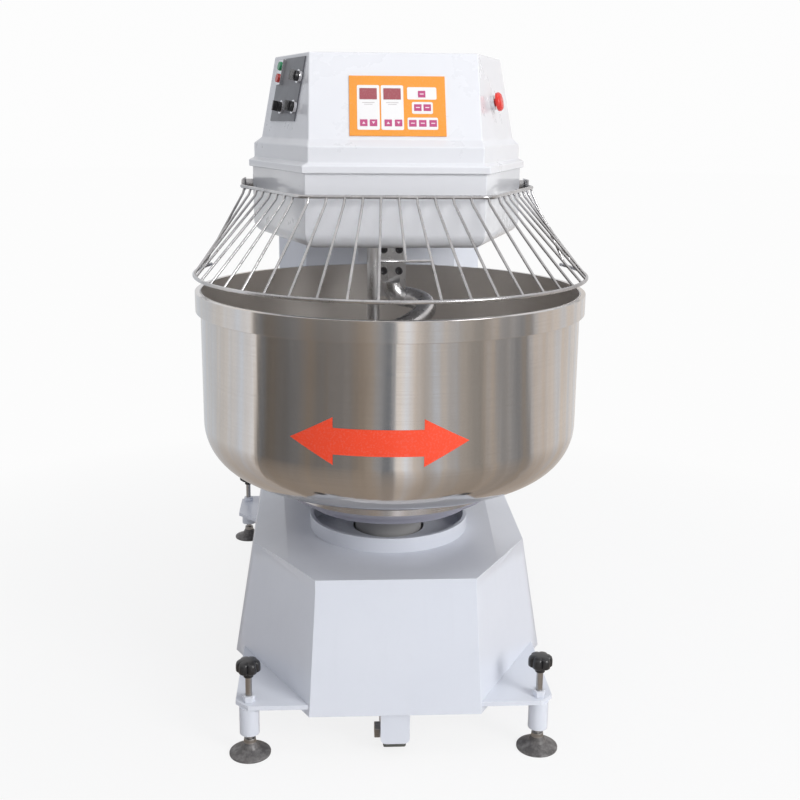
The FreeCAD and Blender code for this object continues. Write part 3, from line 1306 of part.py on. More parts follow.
def jack_sleeves():
    """Threaded sleeves below the base plate and nuts above it."""
    tubes = []
    top = "plate_z + plate_thickness"
    for name, x, y in feet_places():
        sleeve = rod(f"sleeve_{name}", "sleeve_radius", "plate_z - sleeve_bottom_z", x, y, "sleeve_bottom_z")
        nut = hexagon(f"nut_{name}", "foot_nut", "nut_height", x, y, top)
        for piece, low, tall in ((sleeve, "sleeve_bottom_z", "plate_z - sleeve_bottom_z"), (nut, top, "nut_height")):
            bore = rod(f"{piece.Name}_bore", "screw_radius + hinge_fit", f"({tall}) + 4", x, y, f"{low} - 2")
            tubes.append(cut(f"{piece.Name}_cut", piece, [bore]))
    return keep(group("sleeve_group", tubes), "jack_sleeves")


def jack(name, x, y):
    """A levelling foot: the screw with its dished pad, and the lobed hand grip."""
    hub_z = "grip_z - grip_hub"
    points = [
        ("0", "0"), ("pad_radius", "0"), ("pad_radius", "5"), ("pad_radius * 0.45", "pad_top_z * 0.42"),
        ("pad_radius * 0.3", "pad_top_z * 0.75"), ("pad_radius * 0.28", "pad_top_z"), ("screw_radius", "pad_top_z"),
        ("screw_radius", hub_z), ("0", hub_z),
    ]
    keep(stand(turned(f"foot_body_{name}", points), x, y), f"jack_foot_{name}")
    reach = "(grip_radius - lobe_radius)"
    count = int(value("lobe_count"))
    pieces = [
        rod(f"hub_{name}", "screw_radius + 5", "grip_hub + 2", x, y, hub_z),
        rod(f"core_{name}", f"{reach} + 2", "grip_height", x, y, "grip_z"),
    ]
    for k in range(count):
        turn = k * 360 / count
        pieces.append(rod(f"lobe_{name}_{k}", "lobe_radius", "grip_height", f"{x} + {reach} * cos({turn})",
                          f"{y} + {reach} * sin({turn})", "grip_z"))
    keep(fuse(f"grip_{name}", pieces), f"jack_grip_{name}")


def wheel_places():
    """Name, x and y of the wheels."""
    return (("front_wheel", "0", "wheel_y"), ("rear_wheel_left", "-rear_wheel_x", "rear_wheel_y"),
            ("rear_wheel_right", "rear_wheel_x", "rear_wheel_y"))


def fork_corners(name, left, right, front, depth):
    """Tools that round off the two lower corners of a fork, seen from the front."""
    tools = []
    for side, start, middle in (("left", left, f"{left} + fork_corner"),
                                ("right", f"{right} - fork_corner", f"{right} - fork_corner")):
        block = box(f"{name}_{side}_block", "fork_corner", depth, "fork_corner", start, front, "fork_bottom")
        curve = rod(f"{name}_{side}_curve", "fork_corner", f"{depth} + 2", middle, f"{front} - 1",
                    "fork_bottom + fork_corner", "Y")
        tools.append(cut(f"{name}_{side}_corner", block, [curve]))
    return tools


def wheels():
    """Transport wheels on bolts, in folded forks under the base plate."""
    axle_z = "wheel_radius + wheel_lift"
    inner = "(wheel_width / 2 + fork_gap)"
    outer = f"({inner} + fork_sheet)"
    forks = []
    axles = []
    for name, x, y in wheel_places():
        front = f"{y} - wheel_radius - fork_front - fork_sheet"
        depth = "wheel_radius + fork_front + fork_sheet + fork_reach"
        block = box(f"{name}_fork_outside", f"{outer} * 2", depth, "plate_z - fork_bottom", f"{x} - {outer}", front,
                    "fork_bottom")
        room = box(f"{name}_fork_inside", f"{inner} * 2", depth, "plate_z - fork_bottom", f"{x} - {inner}",
                   f"{front} + fork_sheet", "fork_bottom - fork_sheet")
        hole = rod(f"{name}_fork_hole", "axle_radius + screw_gap", f"{outer} * 2 + 4", f"{x} - {outer} - 2", y,
                   axle_z, "X")
        corners = fork_corners(name, f"{x} - {outer}", f"{x} + {outer}", front, depth)
        forks.append(cut(f"{name}_fork", block, [room, hole] + corners))
        axles.append(fuse(f"{name}_axle", [
            rod(f"{name}_pin", "axle_radius", f"{outer} * 2", f"{x} - {outer}", y, axle_z, "X"),
            hexagon(f"{name}_head", "nut_across", "axle_head", f"{x} - {outer} - axle_head", y, axle_z, "X"),
        ]))
        tyre = rod(f"{name}_tyre", "wheel_radius", "wheel_width", f"{x} - wheel_width / 2", y, axle_z, "X")
        bore = rod(f"{name}_bore", "axle_radius + hinge_fit", "wheel_width * 2", f"{x} - wheel_width", y, axle_z,
                   "X")
        keep(cut(f"{name}_cut", tyre, [bore]), name)
    keep(group("fork_group", forks), "wheel_brackets")
    keep(group("axle_group", axles), "wheel_axles")


# --------------------------------------------------------------------- assembly
base_casing(base_plate())
column_casing()
rear_cover()
cover_screws()
head_pan()
head_cover()
support_frame()
bowl_collar()
bearing_housing("bowl_housing_body", "bowl_bearing_housing", "bearing_radius", "housing_radius", "housing_flange",
                "bearing_width", "housing_bottom_z", "housing_top_z", "seat_plate_z + seat_plate", "0", "0")
bearing_housing("spindle_housing_body", "spindle_housing", "spindle_bearing_radius", "spindle_housing_radius",
                "spindle_flange", "spindle_bearing_width", "spindle_housing_bottom_z", "spindle_housing_top_z",
                "deck_z + frame_sheet", "spiral_x", "spiral_y")
shaft_bearings()
spiral_motor()
bowl_motor()
drive_belts()
electrical_box()
cable_gland()
bowl_shell()
rim_band()
direction_arrow()
bowl_turntable()
bowl_shaft()
wheel_disc("bowl_pulley_body", "bowl_pulley", "shaft_radius", "bowl_pulley_radius", "low_pulley_z",
           "low_pulley_width", "0", "0")
wheel_disc("spindle_pulley_body", "spindle_pulley", "spindle_radius", "spiral_pulley_radius", "high_pulley_z",
           "high_pulley_width", "spiral_x", "spiral_y")
motor_pulley("bowl_drive_body", "bowl_motor_pulley", "bowl_drive_radius", "small_shaft_radius", "low_pulley_z",
             "low_pulley_width", "gearbox_z + shaft_depth - shaft_end_gap", "0", "bowl_motor_y", True)
motor_pulley("spiral_drive_body", "spiral_motor_pulley", "spiral_drive_radius", "motor_shaft_radius",
             "high_pulley_z", "high_pulley_width", "deck_z - shaft_depth + shaft_end_gap", "spiral_x",
             "spiral_motor_y", False)
spiral_hook()
spindle()
palm_screws()
breaker_bar()
guard()
guard_hinge_brackets()
control_panel()
controls()
emergency_stop()
jack_sleeves()
for foot in feet_places():
    jack(*foot)
wheels()
doc.recompute()

# ---------------------------------------------------------------- check and write
for item in doc.Objects:
    if "Invalid" in item.State or "Error" in item.State:
        raise RuntimeError(f"{item.Label} did not compute: {item.State}")
for item in parts:
    if item.Shape.isNull() or not item.Shape.isValid():
        raise RuntimeError(f"{item.Label} has no valid shape")
os.makedirs("parts", exist_ok=True)
for item in parts:
    solids = item.Shape.Solids
    whole = solids[0] if len(solids) == 1 else Part.makeCompound(solids)
    whole.exportStep(f"parts/{item.Label}.step")
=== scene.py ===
"""Spiral dough mixer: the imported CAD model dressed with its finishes, on a pale studio floor."""

import math

import bmesh
import bpy
from mathutils import Matrix, Vector


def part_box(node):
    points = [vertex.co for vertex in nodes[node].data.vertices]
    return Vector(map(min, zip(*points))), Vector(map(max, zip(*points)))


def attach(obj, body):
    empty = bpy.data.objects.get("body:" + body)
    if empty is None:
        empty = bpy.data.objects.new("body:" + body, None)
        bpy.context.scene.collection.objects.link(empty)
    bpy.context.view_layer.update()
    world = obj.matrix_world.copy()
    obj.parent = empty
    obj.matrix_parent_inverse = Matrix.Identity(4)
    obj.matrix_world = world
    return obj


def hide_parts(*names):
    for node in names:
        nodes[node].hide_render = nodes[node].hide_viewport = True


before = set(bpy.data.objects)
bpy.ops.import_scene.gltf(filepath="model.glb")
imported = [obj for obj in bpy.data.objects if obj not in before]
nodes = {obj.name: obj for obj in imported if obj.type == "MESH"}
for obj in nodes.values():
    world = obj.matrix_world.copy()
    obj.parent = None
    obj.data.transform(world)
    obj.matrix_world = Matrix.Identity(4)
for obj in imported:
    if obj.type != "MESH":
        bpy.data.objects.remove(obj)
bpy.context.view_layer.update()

# ---- Base plate, base and column casings -------------------------------------------------
# Sheet steel, cut, folded and welded, then powder coated in a cold white. The coat lies a
# little uneven and holds a fine orange-peel texture; its outer edges are a lighter white, a painted
# highlight.


def shader_group(name, inputs, outputs):
    """An empty shader node group with (kind, name, value) inputs and (kind, name) outputs."""
    group = bpy.data.node_groups.new(name, "ShaderNodeTree")
    for kind, label, value in inputs:
        socket = group.interface.new_socket(label, in_out="INPUT", socket_type=f"NodeSocket{kind}")
        socket.default_value = value
    for kind, label in outputs:
        group.interface.new_socket(label, in_out="OUTPUT", socket_type=f"NodeSocket{kind}")
    given = group.nodes.new("NodeGroupInput").outputs
    made = group.nodes.new("NodeGroupOutput").inputs
    return group, given, made


class Wiring:
    """Makes nodes in a tree and joins them; a socket may be given a value or another socket."""

    def __init__(self, tree):
        self.tree = tree

    def join(self, socket, given):
        if isinstance(given, bpy.types.NodeSocket):
            self.tree.links.new(given, socket)
        else:
            socket.default_value = given

    def join_all(self, sockets, values):
        for socket, value in zip(sockets, values):
            self.join(socket, value)

    def node(self, kind, settings=(), **given):
        made = self.tree.nodes.new(f"ShaderNode{kind}")
        for label, value in dict(settings).items():
            setattr(made, label, value)
        for label, value in given.items():
            self.join(made.inputs[label.replace("_", " ")], value)
        return made

    def place(self):
        """The point on the surface in the model's frame, in metres."""
        return self.node("TexCoord").outputs["Object"]

    def maths(self, operation, *given):
        made = self.node("Math", {"operation": operation})
        self.join_all(made.inputs, given)
        return made.outputs[0]

    def plus(self, first, second):
        return self.maths("ADD", first, second)

    def times(self, first, second):
        return self.maths("MULTIPLY", first, second)

    def vectors(self, operation, *given):
        made = self.node("VectorMath", {"operation": operation})
        self.join_all(made.inputs, given)
        return made.outputs["Value" if operation in ("DOT_PRODUCT", "LENGTH") else "Vector"]

    def length(self, *sides):
        """The length of the diagonal over two sides at right angles."""
        first, second = (self.times(side, side) for side in sides)
        return self.maths("SQRT", self.plus(first, second))

    def span(self, value, low, high, start=0.0, end=1.0):
        """Runs from start to end as the value goes from low to high, and stays there beyond."""
        made = self.node("MapRange", {"clamp": True})
        self.join_all(made.inputs, (value, low, high, start, end))
        return made.outputs[0]

    def noise(self, vector, scale, detail=3.0, roughness=0.55):
        made = self.node("TexNoise", Scale=scale, Detail=detail, Roughness=roughness)
        self.join(made.inputs["Vector"], vector)
        return made.outputs["Fac"]

    def blend(self, factor, first, second, kind="MIX"):
        made = self.node("Mix", {"data_type": "RGBA", "blend_type": kind})
        self.join_all((made.inputs[0], made.inputs[6], made.inputs[7]), (factor, first, second))
        return made.outputs[2]

    def bump(self, height, distance, normal=None):
        made = self.node("Bump", Height=height, Distance=distance)
        if normal:
            self.join(made.inputs["Normal"], normal)
        return made.outputs["Normal"]


def colour(red, green, blue):
    return (red, green, blue, 1.0)


def edge_mask_group():
    """Where two faces meet at an outer or inner edge, broken up so that it isn't a drawn line."""
    group, given, made = shader_group(
        "edge_mask", [("Float", "Width", 0.004), ("Float", "Patchiness", 0.6)],
        [("Float", "Mask")])
    w = Wiring(group)
    rounded = w.node("Bevel", {"samples": 4}, Radius=given["Width"]).outputs["Normal"]
    flat = w.node("NewGeometry").outputs["Normal"]
    turned = w.maths("SUBTRACT", 1.0, w.vectors("DOT_PRODUCT", rounded, flat))
    edge = w.span(turned, 0.01, 0.22)
    patches = w.span(w.noise(w.place(), scale=55.0, detail=4.0, roughness=0.7), 0.36, 0.62)
    kept = w.plus(w.times(patches, given["Patchiness"]),
                  w.maths("SUBTRACT", 1.0, given["Patchiness"]))
    w.join(made["Mask"], w.times(edge, kept))
    return group


EDGE_MASK = edge_mask_group()


def coating_group():
    """Sprayed or moulded skin: uneven tone, handling marks, an edge colour and a fine peel. The
    edge colour is wear on the dark coats and a painted highlight on the white ones.
    """
    group, given, made = shader_group("coating", [
        ("Color", "Colour", colour(0.8, 0.8, 0.8)), ("Color", "Edge Wear And Highlight Colour", colour(0.5, 0.5, 0.5)),
        ("Color", "Soil Colour", colour(0.4, 0.38, 0.35)), ("Float", "Roughness", 0.35),
        ("Float", "Unevenness", 0.06), ("Float", "Soil", 0.1), ("Float", "Edge Wear And Highlight", 0.3),
        ("Float", "Edge Width", 0.003), ("Float", "Peel Size", 420.0),
        ("Float", "Peel Height", 0.00008),
    ], [("Color", "Colour"), ("Float", "Roughness"), ("Vector", "Normal")])
    w = Wiring(group)
    place = w.place()

    tone = w.noise(place, scale=2.3, detail=2.0)
    darker = w.blend(1.0, given["Colour"], colour(0.80, 0.82, 0.86), "MULTIPLY")
    shade = w.times(w.span(tone, 0.35, 0.7), w.times(given["Unevenness"], 6.0))
    toned = w.blend(shade, given["Colour"], darker)

    marks = w.span(w.noise(place, scale=14.0, detail=6.0, roughness=0.72), 0.52, 0.80)
    runs = w.node("Mapping", Vector=place, Scale=(38.0, 38.0, 3.0)).outputs[0]
    drips = w.span(w.noise(runs, scale=1.0, detail=3.0, roughness=0.6), 0.58, 0.85)
    soil = w.times(w.maths("MAXIMUM", marks, drips), given["Soil"])
    soiled = w.blend(soil, toned, given["Soil Colour"])

    # Along the edges the colour turns to the edge colour: worn paint on the dark coats, a lighter
    # painted highlight on the white coats.
    edge = w.node("Group", {"node_tree": EDGE_MASK}, Width=given["Edge Width"], Patchiness=0.8)
    worn = w.times(edge.outputs["Mask"], given["Edge Wear And Highlight"])
    w.join(made["Colour"], w.blend(worn, soiled, given["Edge Wear And Highlight Colour"]))

    rubbed = w.span(w.noise(place, scale=7.0, detail=5.0, roughness=0.65), 0.3, 0.75)
    duller = w.plus(given["Roughness"], w.times(rubbed, 0.14))
    w.join(made["Roughness"], w.plus(duller, w.times(soil, 0.3)))
    w.join(made["Normal"], w.bump(w.noise(place, given["Peel Size"], 2.0), given["Peel Height"]))
    return group


COATING = coating_group()


def material(name, group, values, surface, extra=None):
    """A material whose group feeds its Principled BSDF; constants go on the shader's sockets."""
    made = bpy.data.materials.new(name)
    made.use_nodes = True
    w = Wiring(made.node_tree)
    shader = made.node_tree.nodes["Principled BSDF"]
    placed = w.node("Group", {"node_tree": group})
    for label, value in values.items():
        w.join(placed.inputs[label], value)
    for label, socket in (("Colour", "Base Color"), ("Roughness", "Roughness"),
                          ("Normal", "Normal")):
        w.join(shader.inputs[socket], placed.outputs[label])
    if extra:
        extra(w, placed, shader)
    for label, value in surface.items():
        shader.inputs[label].default_value = value
    return made


SAME_POINT = 0.00001
SAME_FACE = math.radians(0.1)


def dress(names, finish, rounding=0.0, steps=2, limit=35.0):
    """Gives CAD nodes their finish, and rounds edges sharper than the limit in degrees."""
    for name in names:
        part = nodes[name]
        part.data.materials.clear()
        part.data.materials.append(finish)
        part.data.polygons.foreach_set("use_smooth", [True] * len(part.data.polygons))
        weld = part.modifiers.new("joined", "WELD")
        weld.merge_threshold = SAME_POINT
        if rounding:
            merged = part.modifiers.new("whole_faces", "DECIMATE")
            merged.decimate_type = "DISSOLVE"
            merged.angle_limit = SAME_FACE
            bevel = part.modifiers.new("broken_edges", "BEVEL")
            bevel.width = rounding
            bevel.segments = steps
            bevel.limit_method = "ANGLE"
            bevel.angle_limit = math.radians(limit)
            bevel.use_clamp_overlap = True
        part.modifiers.new("even_light", "WEIGHTED_NORMAL").keep_sharp = True


# The edges turn to a lighter white: a painted highlight along the folds.
powder_coat = material("powder_coat", COATING, {
    "Colour": colour(0.76, 0.784, 0.842), "Edge Wear And Highlight Colour": colour(0.94, 0.95, 0.97),
    "Soil Colour": colour(0.56, 0.57, 0.61), "Roughness": 0.30, "Unevenness": 0.05, "Soil": 0.09,
    "Edge Wear And Highlight": 0.60, "Edge Width": 0.003, "Peel Size": 380.0, "Peel Height": 0.00008,
}, {"Coat Weight": 0.25, "Coat Roughness": 0.12})
dress(["base_casing", "column_casing"], powder_coat, 0.004, 4)
dress(["base_plate"], powder_coat, 0.0012, 2)
dress(["rear_cover", "bowl_collar", "wheel_brackets", "jack_sleeves"], powder_coat, 0.0008, 2)

# ---- Head pan and head cover -------------------------------------------------------------
# Two thick mouldings with a smooth white gel coat. The cover's lip laps over the pan, and
# every outer edge is drawn to a soft radius so that the mould releases.

# The edges turn to a lighter white here too: a painted highlight.
gel_coat = material("gel_coat", COATING, {
    "Colour": colour(0.79, 0.795, 0.82), "Edge Wear And Highlight Colour": colour(0.90, 0.91, 0.93),
    "Soil Colour": colour(0.66, 0.66, 0.68), "Roughness": 0.24, "Unevenness": 0.03, "Soil": 0.05,
    "Edge Wear And Highlight": 0.35, "Edge Width": 0.005, "Peel Size": 120.0, "Peel Height": 0.00006,
}, {"Coat Weight": 0.4, "Coat Roughness": 0.08})
dress(["head_cover"], gel_coat, 0.006, 5, 14.0)
dress(["head_pan"], gel_coat, 0.0015, 3)

# ---- Bowl, rim band, turntable and arrow -------------------------------------------------
# The bowl is spun and polished stainless sheet; the band is a flat ring welded round its rim.
# Polishing marks run round its axis, and the turntable and pulley under it are turned. The
# arrow on its front is a dyed film.


def round_and_out(w, x, y):
    """Angle about an upright axis, nothing at the front, and the distance from that axis."""
    return w.maths("ARCTAN2", x, w.times(y, -1.0)), w.length(x, y)


def ring_grain_group():
    """Object coordinates unrolled about a vertical axis: round, outwards and up, in metres."""
    group, given, made = shader_group(
        "ring_grain", [("Vector", "Axis", (0.0, 0.0, 0.0))], [("Vector", "Place")])
    w = Wiring(group)
    from_axis = w.vectors("SUBTRACT", w.place(), given["Axis"])
    x, y, z = w.node("SeparateXYZ", Vector=from_axis).outputs
    turn, out = round_and_out(w, x, y)
    w.join(made["Place"], w.node("CombineXYZ", X=turn, Y=out, Z=z).outputs[0])
    return group


RING_GRAIN = ring_grain_group()


def metal_group():
    """Worked metal: grain drawn out along one direction, smears of polish, and soft ripples."""
    group, given, made = shader_group("worked_metal", [
        ("Vector", "Place", (0.0, 0.0, 0.0)), ("Vector", "Grain", (3.0, 400.0, 400.0)),
        ("Color", "Colour", colour(0.6, 0.6, 0.6)),
        ("Color", "Dull Colour", colour(0.4, 0.38, 0.36)),
        ("Float", "Roughness", 0.2), ("Float", "Spread", 0.15), ("Float", "Grain Height", 0.00002),
        ("Float", "Dulling", 0.3), ("Vector", "Ripple", (20.0, 20.0, 20.0)),
        ("Float", "Ripple Height", 0.0),
    ], [("Color", "Colour"), ("Float", "Roughness"), ("Vector", "Normal")])
    w = Wiring(group)
    place = given["Place"]

    drawn = w.vectors("MULTIPLY", place, given["Grain"])
    grain = w.noise(drawn, scale=1.0, detail=4.0, roughness=0.65)
    streaks = w.span(grain, 0.3, 0.7)
    smears = w.noise(w.vectors("MULTIPLY", place, (5.0, 5.0, 5.0)), 1.0, 5.0, 0.6)
    dull = w.times(w.span(smears, 0.42, 0.75), given["Dulling"])
    streaked = w.blend(w.times(streaks, 0.22), given["Colour"], given["Dull Colour"])
    w.join(made["Colour"], w.blend(dull, streaked, given["Dull Colour"]))
    rough = w.times(w.plus(streaks, dull), given["Spread"])
    w.join(made["Roughness"], w.plus(given["Roughness"], rough))

    waves = w.noise(w.vectors("MULTIPLY", place, given["Ripple"]), 1.0, 2.0, 0.5)
    rippled = w.bump(waves, given["Ripple Height"])
    w.join(made["Normal"], w.bump(grain, given["Grain Height"], normal=rippled))
    return group


WORKED_METAL = metal_group()
bowl_low, bowl_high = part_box("bowl_shell")
bowl_axis = ((bowl_low[0] + bowl_high[0]) / 2, (bowl_low[1] + bowl_high[1]) / 2, 0.0)


def round_bowl(w, placed, shader):
    """Feeds a metal its place round the bowl's axis, and gives that place as it is used."""
    ring = w.node("Group", {"node_tree": RING_GRAIN}, Axis=bowl_axis)
    w.join(placed.inputs["Place"], ring.outputs["Place"])
    return w.node("SeparateXYZ", Vector=ring.outputs["Place"]).outputs


def straight(w, placed, shader):
    """Feeds a metal its place as it lies, and gives that place."""
    place = w.place()
    w.join(placed.inputs["Place"], place)
    return w.node("SeparateXYZ", Vector=place).outputs


def metal(name, values, wire=straight):
    return material(name, WORKED_METAL, values, {"Metallic": 1.0}, wire)


PAINT_ROUGHNESS = 0.32


def painted_where(w, placed, shader, mask, paint):
    """Lays paint over a metal where the mask is one."""
    w.join(shader.inputs["Base Color"], w.blend(mask, placed.outputs["Colour"], paint))
    w.join(shader.inputs["Metallic"], w.maths("SUBTRACT", 1.0, mask))
    w.join(shader.inputs["Roughness"],
           w.maths("MAXIMUM", placed.outputs["Roughness"], w.times(mask, PAINT_ROUGHNESS)))


POLISHED, SCRUBBED = 0.075, 0.27
# The inside of the bowl gets a lighter, warmer colour: painted light and reflection where the bowl
# is dark inside.
INSIDE_PAINTED_LIGHT_COLOUR, INSIDE_PAINTED_LIGHT_SHARE = colour(0.90, 0.85, 0.80), 0.32


def duller_and_painted_lighter_inside(w, placed, shader):
    """The inside of the bowl is scrubbed duller by dough and cleaning, and its colour is made
    lighter and warmer there: painted light and reflection inside the bowl.
    """
    round_bowl(w, placed, shader)
    seen = w.node("TexCoord").outputs
    inward = w.vectors("MULTIPLY", w.vectors("SUBTRACT", seen["Object"], bowl_axis),
                       (-1.0, -1.0, 0.0))
    across = w.vectors("DOT_PRODUCT", seen["Normal"], w.vectors("NORMALIZE", inward))
    upward = w.node("SeparateXYZ", Vector=seen["Normal"]).outputs["Z"]
    inside = w.span(w.plus(across, upward), 0.0, 0.2)
    w.join(placed.inputs["Roughness"], w.plus(POLISHED, w.times(inside, SCRUBBED)))
    # Lighter, warmer colour on the inner faces: painted light.
    w.join(shader.inputs["Base Color"],
           w.blend(w.times(inside, INSIDE_PAINTED_LIGHT_SHARE), placed.outputs["Colour"], INSIDE_PAINTED_LIGHT_COLOUR))


bowl_steel = metal("bowl_steel", {
    "Grain": (1.2, 500.0, 700.0), "Colour": colour(0.63, 0.615, 0.605),
    "Dull Colour": colour(0.48, 0.455, 0.43), "Spread": 0.07, "Grain Height": 0.000004,
    "Dulling": 0.30, "Ripple": (16.0, 0.0, 1.1), "Ripple Height": 0.00022,
}, duller_and_painted_lighter_inside)
turned_steel = metal("turned_steel", {
    "Grain": (0.8, 900.0, 900.0), "Colour": colour(0.50, 0.50, 0.52),
    "Dull Colour": colour(0.33, 0.32, 0.32), "Roughness": 0.24, "Spread": 0.2,
    "Grain Height": 0.00002, "Dulling": 0.4,
}, round_bowl)
band_steel = metal("band_steel", {
    "Grain": (1.0, 600.0, 900.0), "Colour": colour(0.66, 0.645, 0.635),
    "Dull Colour": colour(0.46, 0.44, 0.42), "Roughness": 0.09, "Spread": 0.07,
    "Grain Height": 0.000006, "Dulling": 0.25, "Ripple": (11.0, 0.0, 3.0),
    "Ripple Height": 0.00025,
}, round_bowl)
turntable_low, turntable_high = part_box("bowl_turntable")
DRUM_SHARE, PAINT_EDGE = 0.43, 0.0006
drum_top = turntable_low[2] + DRUM_SHARE * (turntable_high[2] - turntable_low[2])


def painted_drum(w, placed, shader):
    """The drum under the polished flange is a dark blue-grey: the machine's white paint darkened as
    painted shade under the bowl.
    """
    _, _, up = round_bowl(w, placed, shader)
    mask = w.span(up, drum_top + PAINT_EDGE, drum_top)
    # The dark blue-grey is painted shade, the machine's white paint as it looks under the bowl.
    painted_where(w, placed, shader, mask, colour(0.30, 0.30, 0.36))


turntable_steel = metal("turntable_steel", {
    "Grain": (0.8, 900.0, 900.0), "Colour": colour(0.66, 0.66, 0.68),
    "Dull Colour": colour(0.42, 0.42, 0.43), "Roughness": 0.14, "Spread": 0.15,
    "Grain Height": 0.00002, "Dulling": 0.3,
}, painted_drum)
dress(["bowl_shell"], bowl_steel)
dress(["rim_band"], band_steel, 0.001, 3)
dress(["bowl_turntable"], turntable_steel, 0.001, 3)
dress(["bowl_shaft", "bowl_pulley"], turned_steel, 0.001, 3)


def print_group():
    """Printed or dyed film: flat ink with faint mottling, dust and a fine surface texture."""
    group, given, made = shader_group("printed_film", [
        ("Color", "Colour", colour(0.9, 0.5, 0.1)), ("Float", "Roughness", 0.35),
        ("Float", "Mottling", 0.1), ("Float", "Dust", 0.08), ("Float", "Texture Height", 0.00003),
    ], [("Color", "Colour"), ("Float", "Roughness"), ("Vector", "Normal")])
    w = Wiring(group)
    place = w.place()
    fine = w.noise(place, scale=260.0, detail=4.0, roughness=0.6)
    broad = w.noise(place, scale=16.0, detail=5.0, roughness=0.6)
    deeper = w.blend(1.0, given["Colour"], colour(0.72, 0.70, 0.70), "MULTIPLY")
    mottled = w.times(w.span(broad, 0.35, 0.7), given["Mottling"])
    inked = w.blend(mottled, given["Colour"], deeper)
    dust = w.times(w.span(fine, 0.5, 0.75), given["Dust"])
    w.join(made["Colour"], w.blend(dust, inked, colour(0.75, 0.73, 0.70)))
    w.join(made["Roughness"], w.plus(given["Roughness"], w.times(broad, 0.15)))
    w.join(made["Normal"], w.bump(fine, given["Texture Height"]))
    return group


PRINTED_FILM = print_group()


def film(name, tint, roughness=0.3, mottling=0.12):
    return material(name, PRINTED_FILM,
                    {"Colour": tint, "Roughness": roughness, "Mottling": mottling},
                    {"Coat Weight": 0.3, "Coat Roughness": 0.15})


dress(["direction_arrow"], film("arrow_red", colour(0.96, 0.058, 0.008), 0.45, 0.05))

# ---- Spiral hook, palm screws, spindle and breaker bar -----------------------------------
# Forged stainless bar, ground and polished by hand; the palm is bolted to the spindle's
# tongue by four domed screws, and the breaker bar hangs from a welded plate.

forged_steel = metal("forged_steel", {
    "Grain": (60.0, 60.0, 14.0), "Colour": colour(0.66, 0.66, 0.67),
    "Dull Colour": colour(0.42, 0.42, 0.43), "Roughness": 0.16, "Spread": 0.22,
    "Grain Height": 0.00006, "Dulling": 0.35,
})
blued_steel = metal("blued_steel", {
    "Grain": (300.0, 300.0, 300.0), "Colour": colour(0.16, 0.16, 0.17),
    "Dull Colour": colour(0.05, 0.05, 0.05), "Roughness": 0.25, "Spread": 0.2,
    "Grain Height": 0.00002, "Dulling": 0.4,
})
BAR_RADIUS = 0.014
BRACKET_THICKNESS = 0.0125
WELD_EDGE = 0.0003
breaker_low, breaker_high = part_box("breaker_bar")
bar_left = (breaker_low[0] + breaker_high[0]) / 2 - BAR_RADIUS


def painted_bracket(w, placed, shader):
    """The breaker bar's plate and gusset are coated white with the pan, and the bar is bare."""
    x, _, z = straight(w, placed, shader)
    plate = w.maths("GREATER_THAN", z, breaker_high[2] - BRACKET_THICKNESS)
    gusset = w.maths("LESS_THAN", x, bar_left - WELD_EDGE)
    mask = w.maths("MAXIMUM", plate, gusset)
    painted_where(w, placed, shader, mask, colour(0.76, 0.78, 0.83))


breaker_steel = metal("breaker_steel", {
    "Grain": (60.0, 60.0, 14.0), "Colour": colour(0.62, 0.62, 0.63),
    "Dull Colour": colour(0.42, 0.42, 0.43), "Roughness": 0.20, "Spread": 0.2,
    "Grain Height": 0.00006, "Dulling": 0.35,
}, painted_bracket)
dress(["spiral_hook", "spindle"], forged_steel, 0.002, 3)
dress(["breaker_bar"], breaker_steel, 0.0015, 3)
dress(["palm_screws", "cover_screws"], blued_steel, 0.0015, 3)
dress(["spindle_pulley", "shaft_bearings"], turned_steel, 0.001, 2)

# ---- Guard -------------------------------------------------------------------------------
# Round bright wires welded between two rings of thicker rod. Flat arms at its ends turn on
# pins in the brackets of the head, so that the whole guard lifts off the bowl.

bright_wire = metal("bright_wire", {
    "Grain": (60.0, 60.0, 25.0), "Colour": colour(0.60, 0.60, 0.61),
    "Dull Colour": colour(0.20, 0.20, 0.21), "Roughness": 0.12, "Spread": 0.16,
    "Grain Height": 0.00006, "Dulling": 0.75,
})
dress(["guard_upper_ring", "guard_lower_ring", "guard_wires"], bright_wire)
dress(["guard_hinge_arms", "guard_hinge_brackets"], bright_wire, 0.001, 2)

# ---- Control panel -----------------------------------------------------------------------
# Printed orange film on a steel plate on the head's slope. It has white fields, dark red
# windows and square magenta keys, with small raised bars and triangles for marks.


def slope_frame(node, normal):
    """Middle of a flat piece's outer face, with the directions along it, up it and outwards."""
    outward = Vector(normal).normalized()
    along = Vector((0.0, 0.0, 1.0)).cross(outward).normalized()
    upward = outward.cross(along)
    corners = [vertex.co for vertex in nodes[node].data.vertices]
    middle = Vector()
    for way in (along, upward):
        reach = [corner.dot(way) for corner in corners]
        middle += way * (min(reach) + max(reach)) / 2
    top = max(corner.dot(outward) for corner in corners)
    return middle + outward * top, along, upward, outward


def lifted(slope, height):
    """The same slope, moved outwards by a height."""
    middle, along, upward, outward = slope
    return middle + outward * height, along, upward, outward


def finished(name, shape, finish, body, smooth=30.0):
    """Turns a bmesh into an object that rides on a body, with smooth faces and its finish."""
    bmesh.ops.recalc_face_normals(shape, faces=shape.faces)
    mesh = bpy.data.meshes.new(name)
    shape.to_mesh(mesh)
    shape.free()
    mesh.materials.append(finish)
    made = bpy.data.objects.new(name, mesh)
    bpy.context.scene.collection.objects.link(made)
    mesh.polygons.foreach_set("use_smooth", [True] * len(mesh.polygons))
    mesh.set_sharp_from_angle(angle=math.radians(smooth))
    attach(made, body)
    return made


def skinned(shape, rings):
    """Joins rings of vertices from the lowest to the highest and closes both ends."""
    for lower, upper in zip(rings, rings[1:]):
        for k in range(len(lower)):
            after = (k + 1) % len(lower)
            shape.faces.new((lower[k], lower[after], upper[after], upper[k]))
    shape.faces.new(rings[-1])
    shape.faces.new(list(reversed(rings[0])))


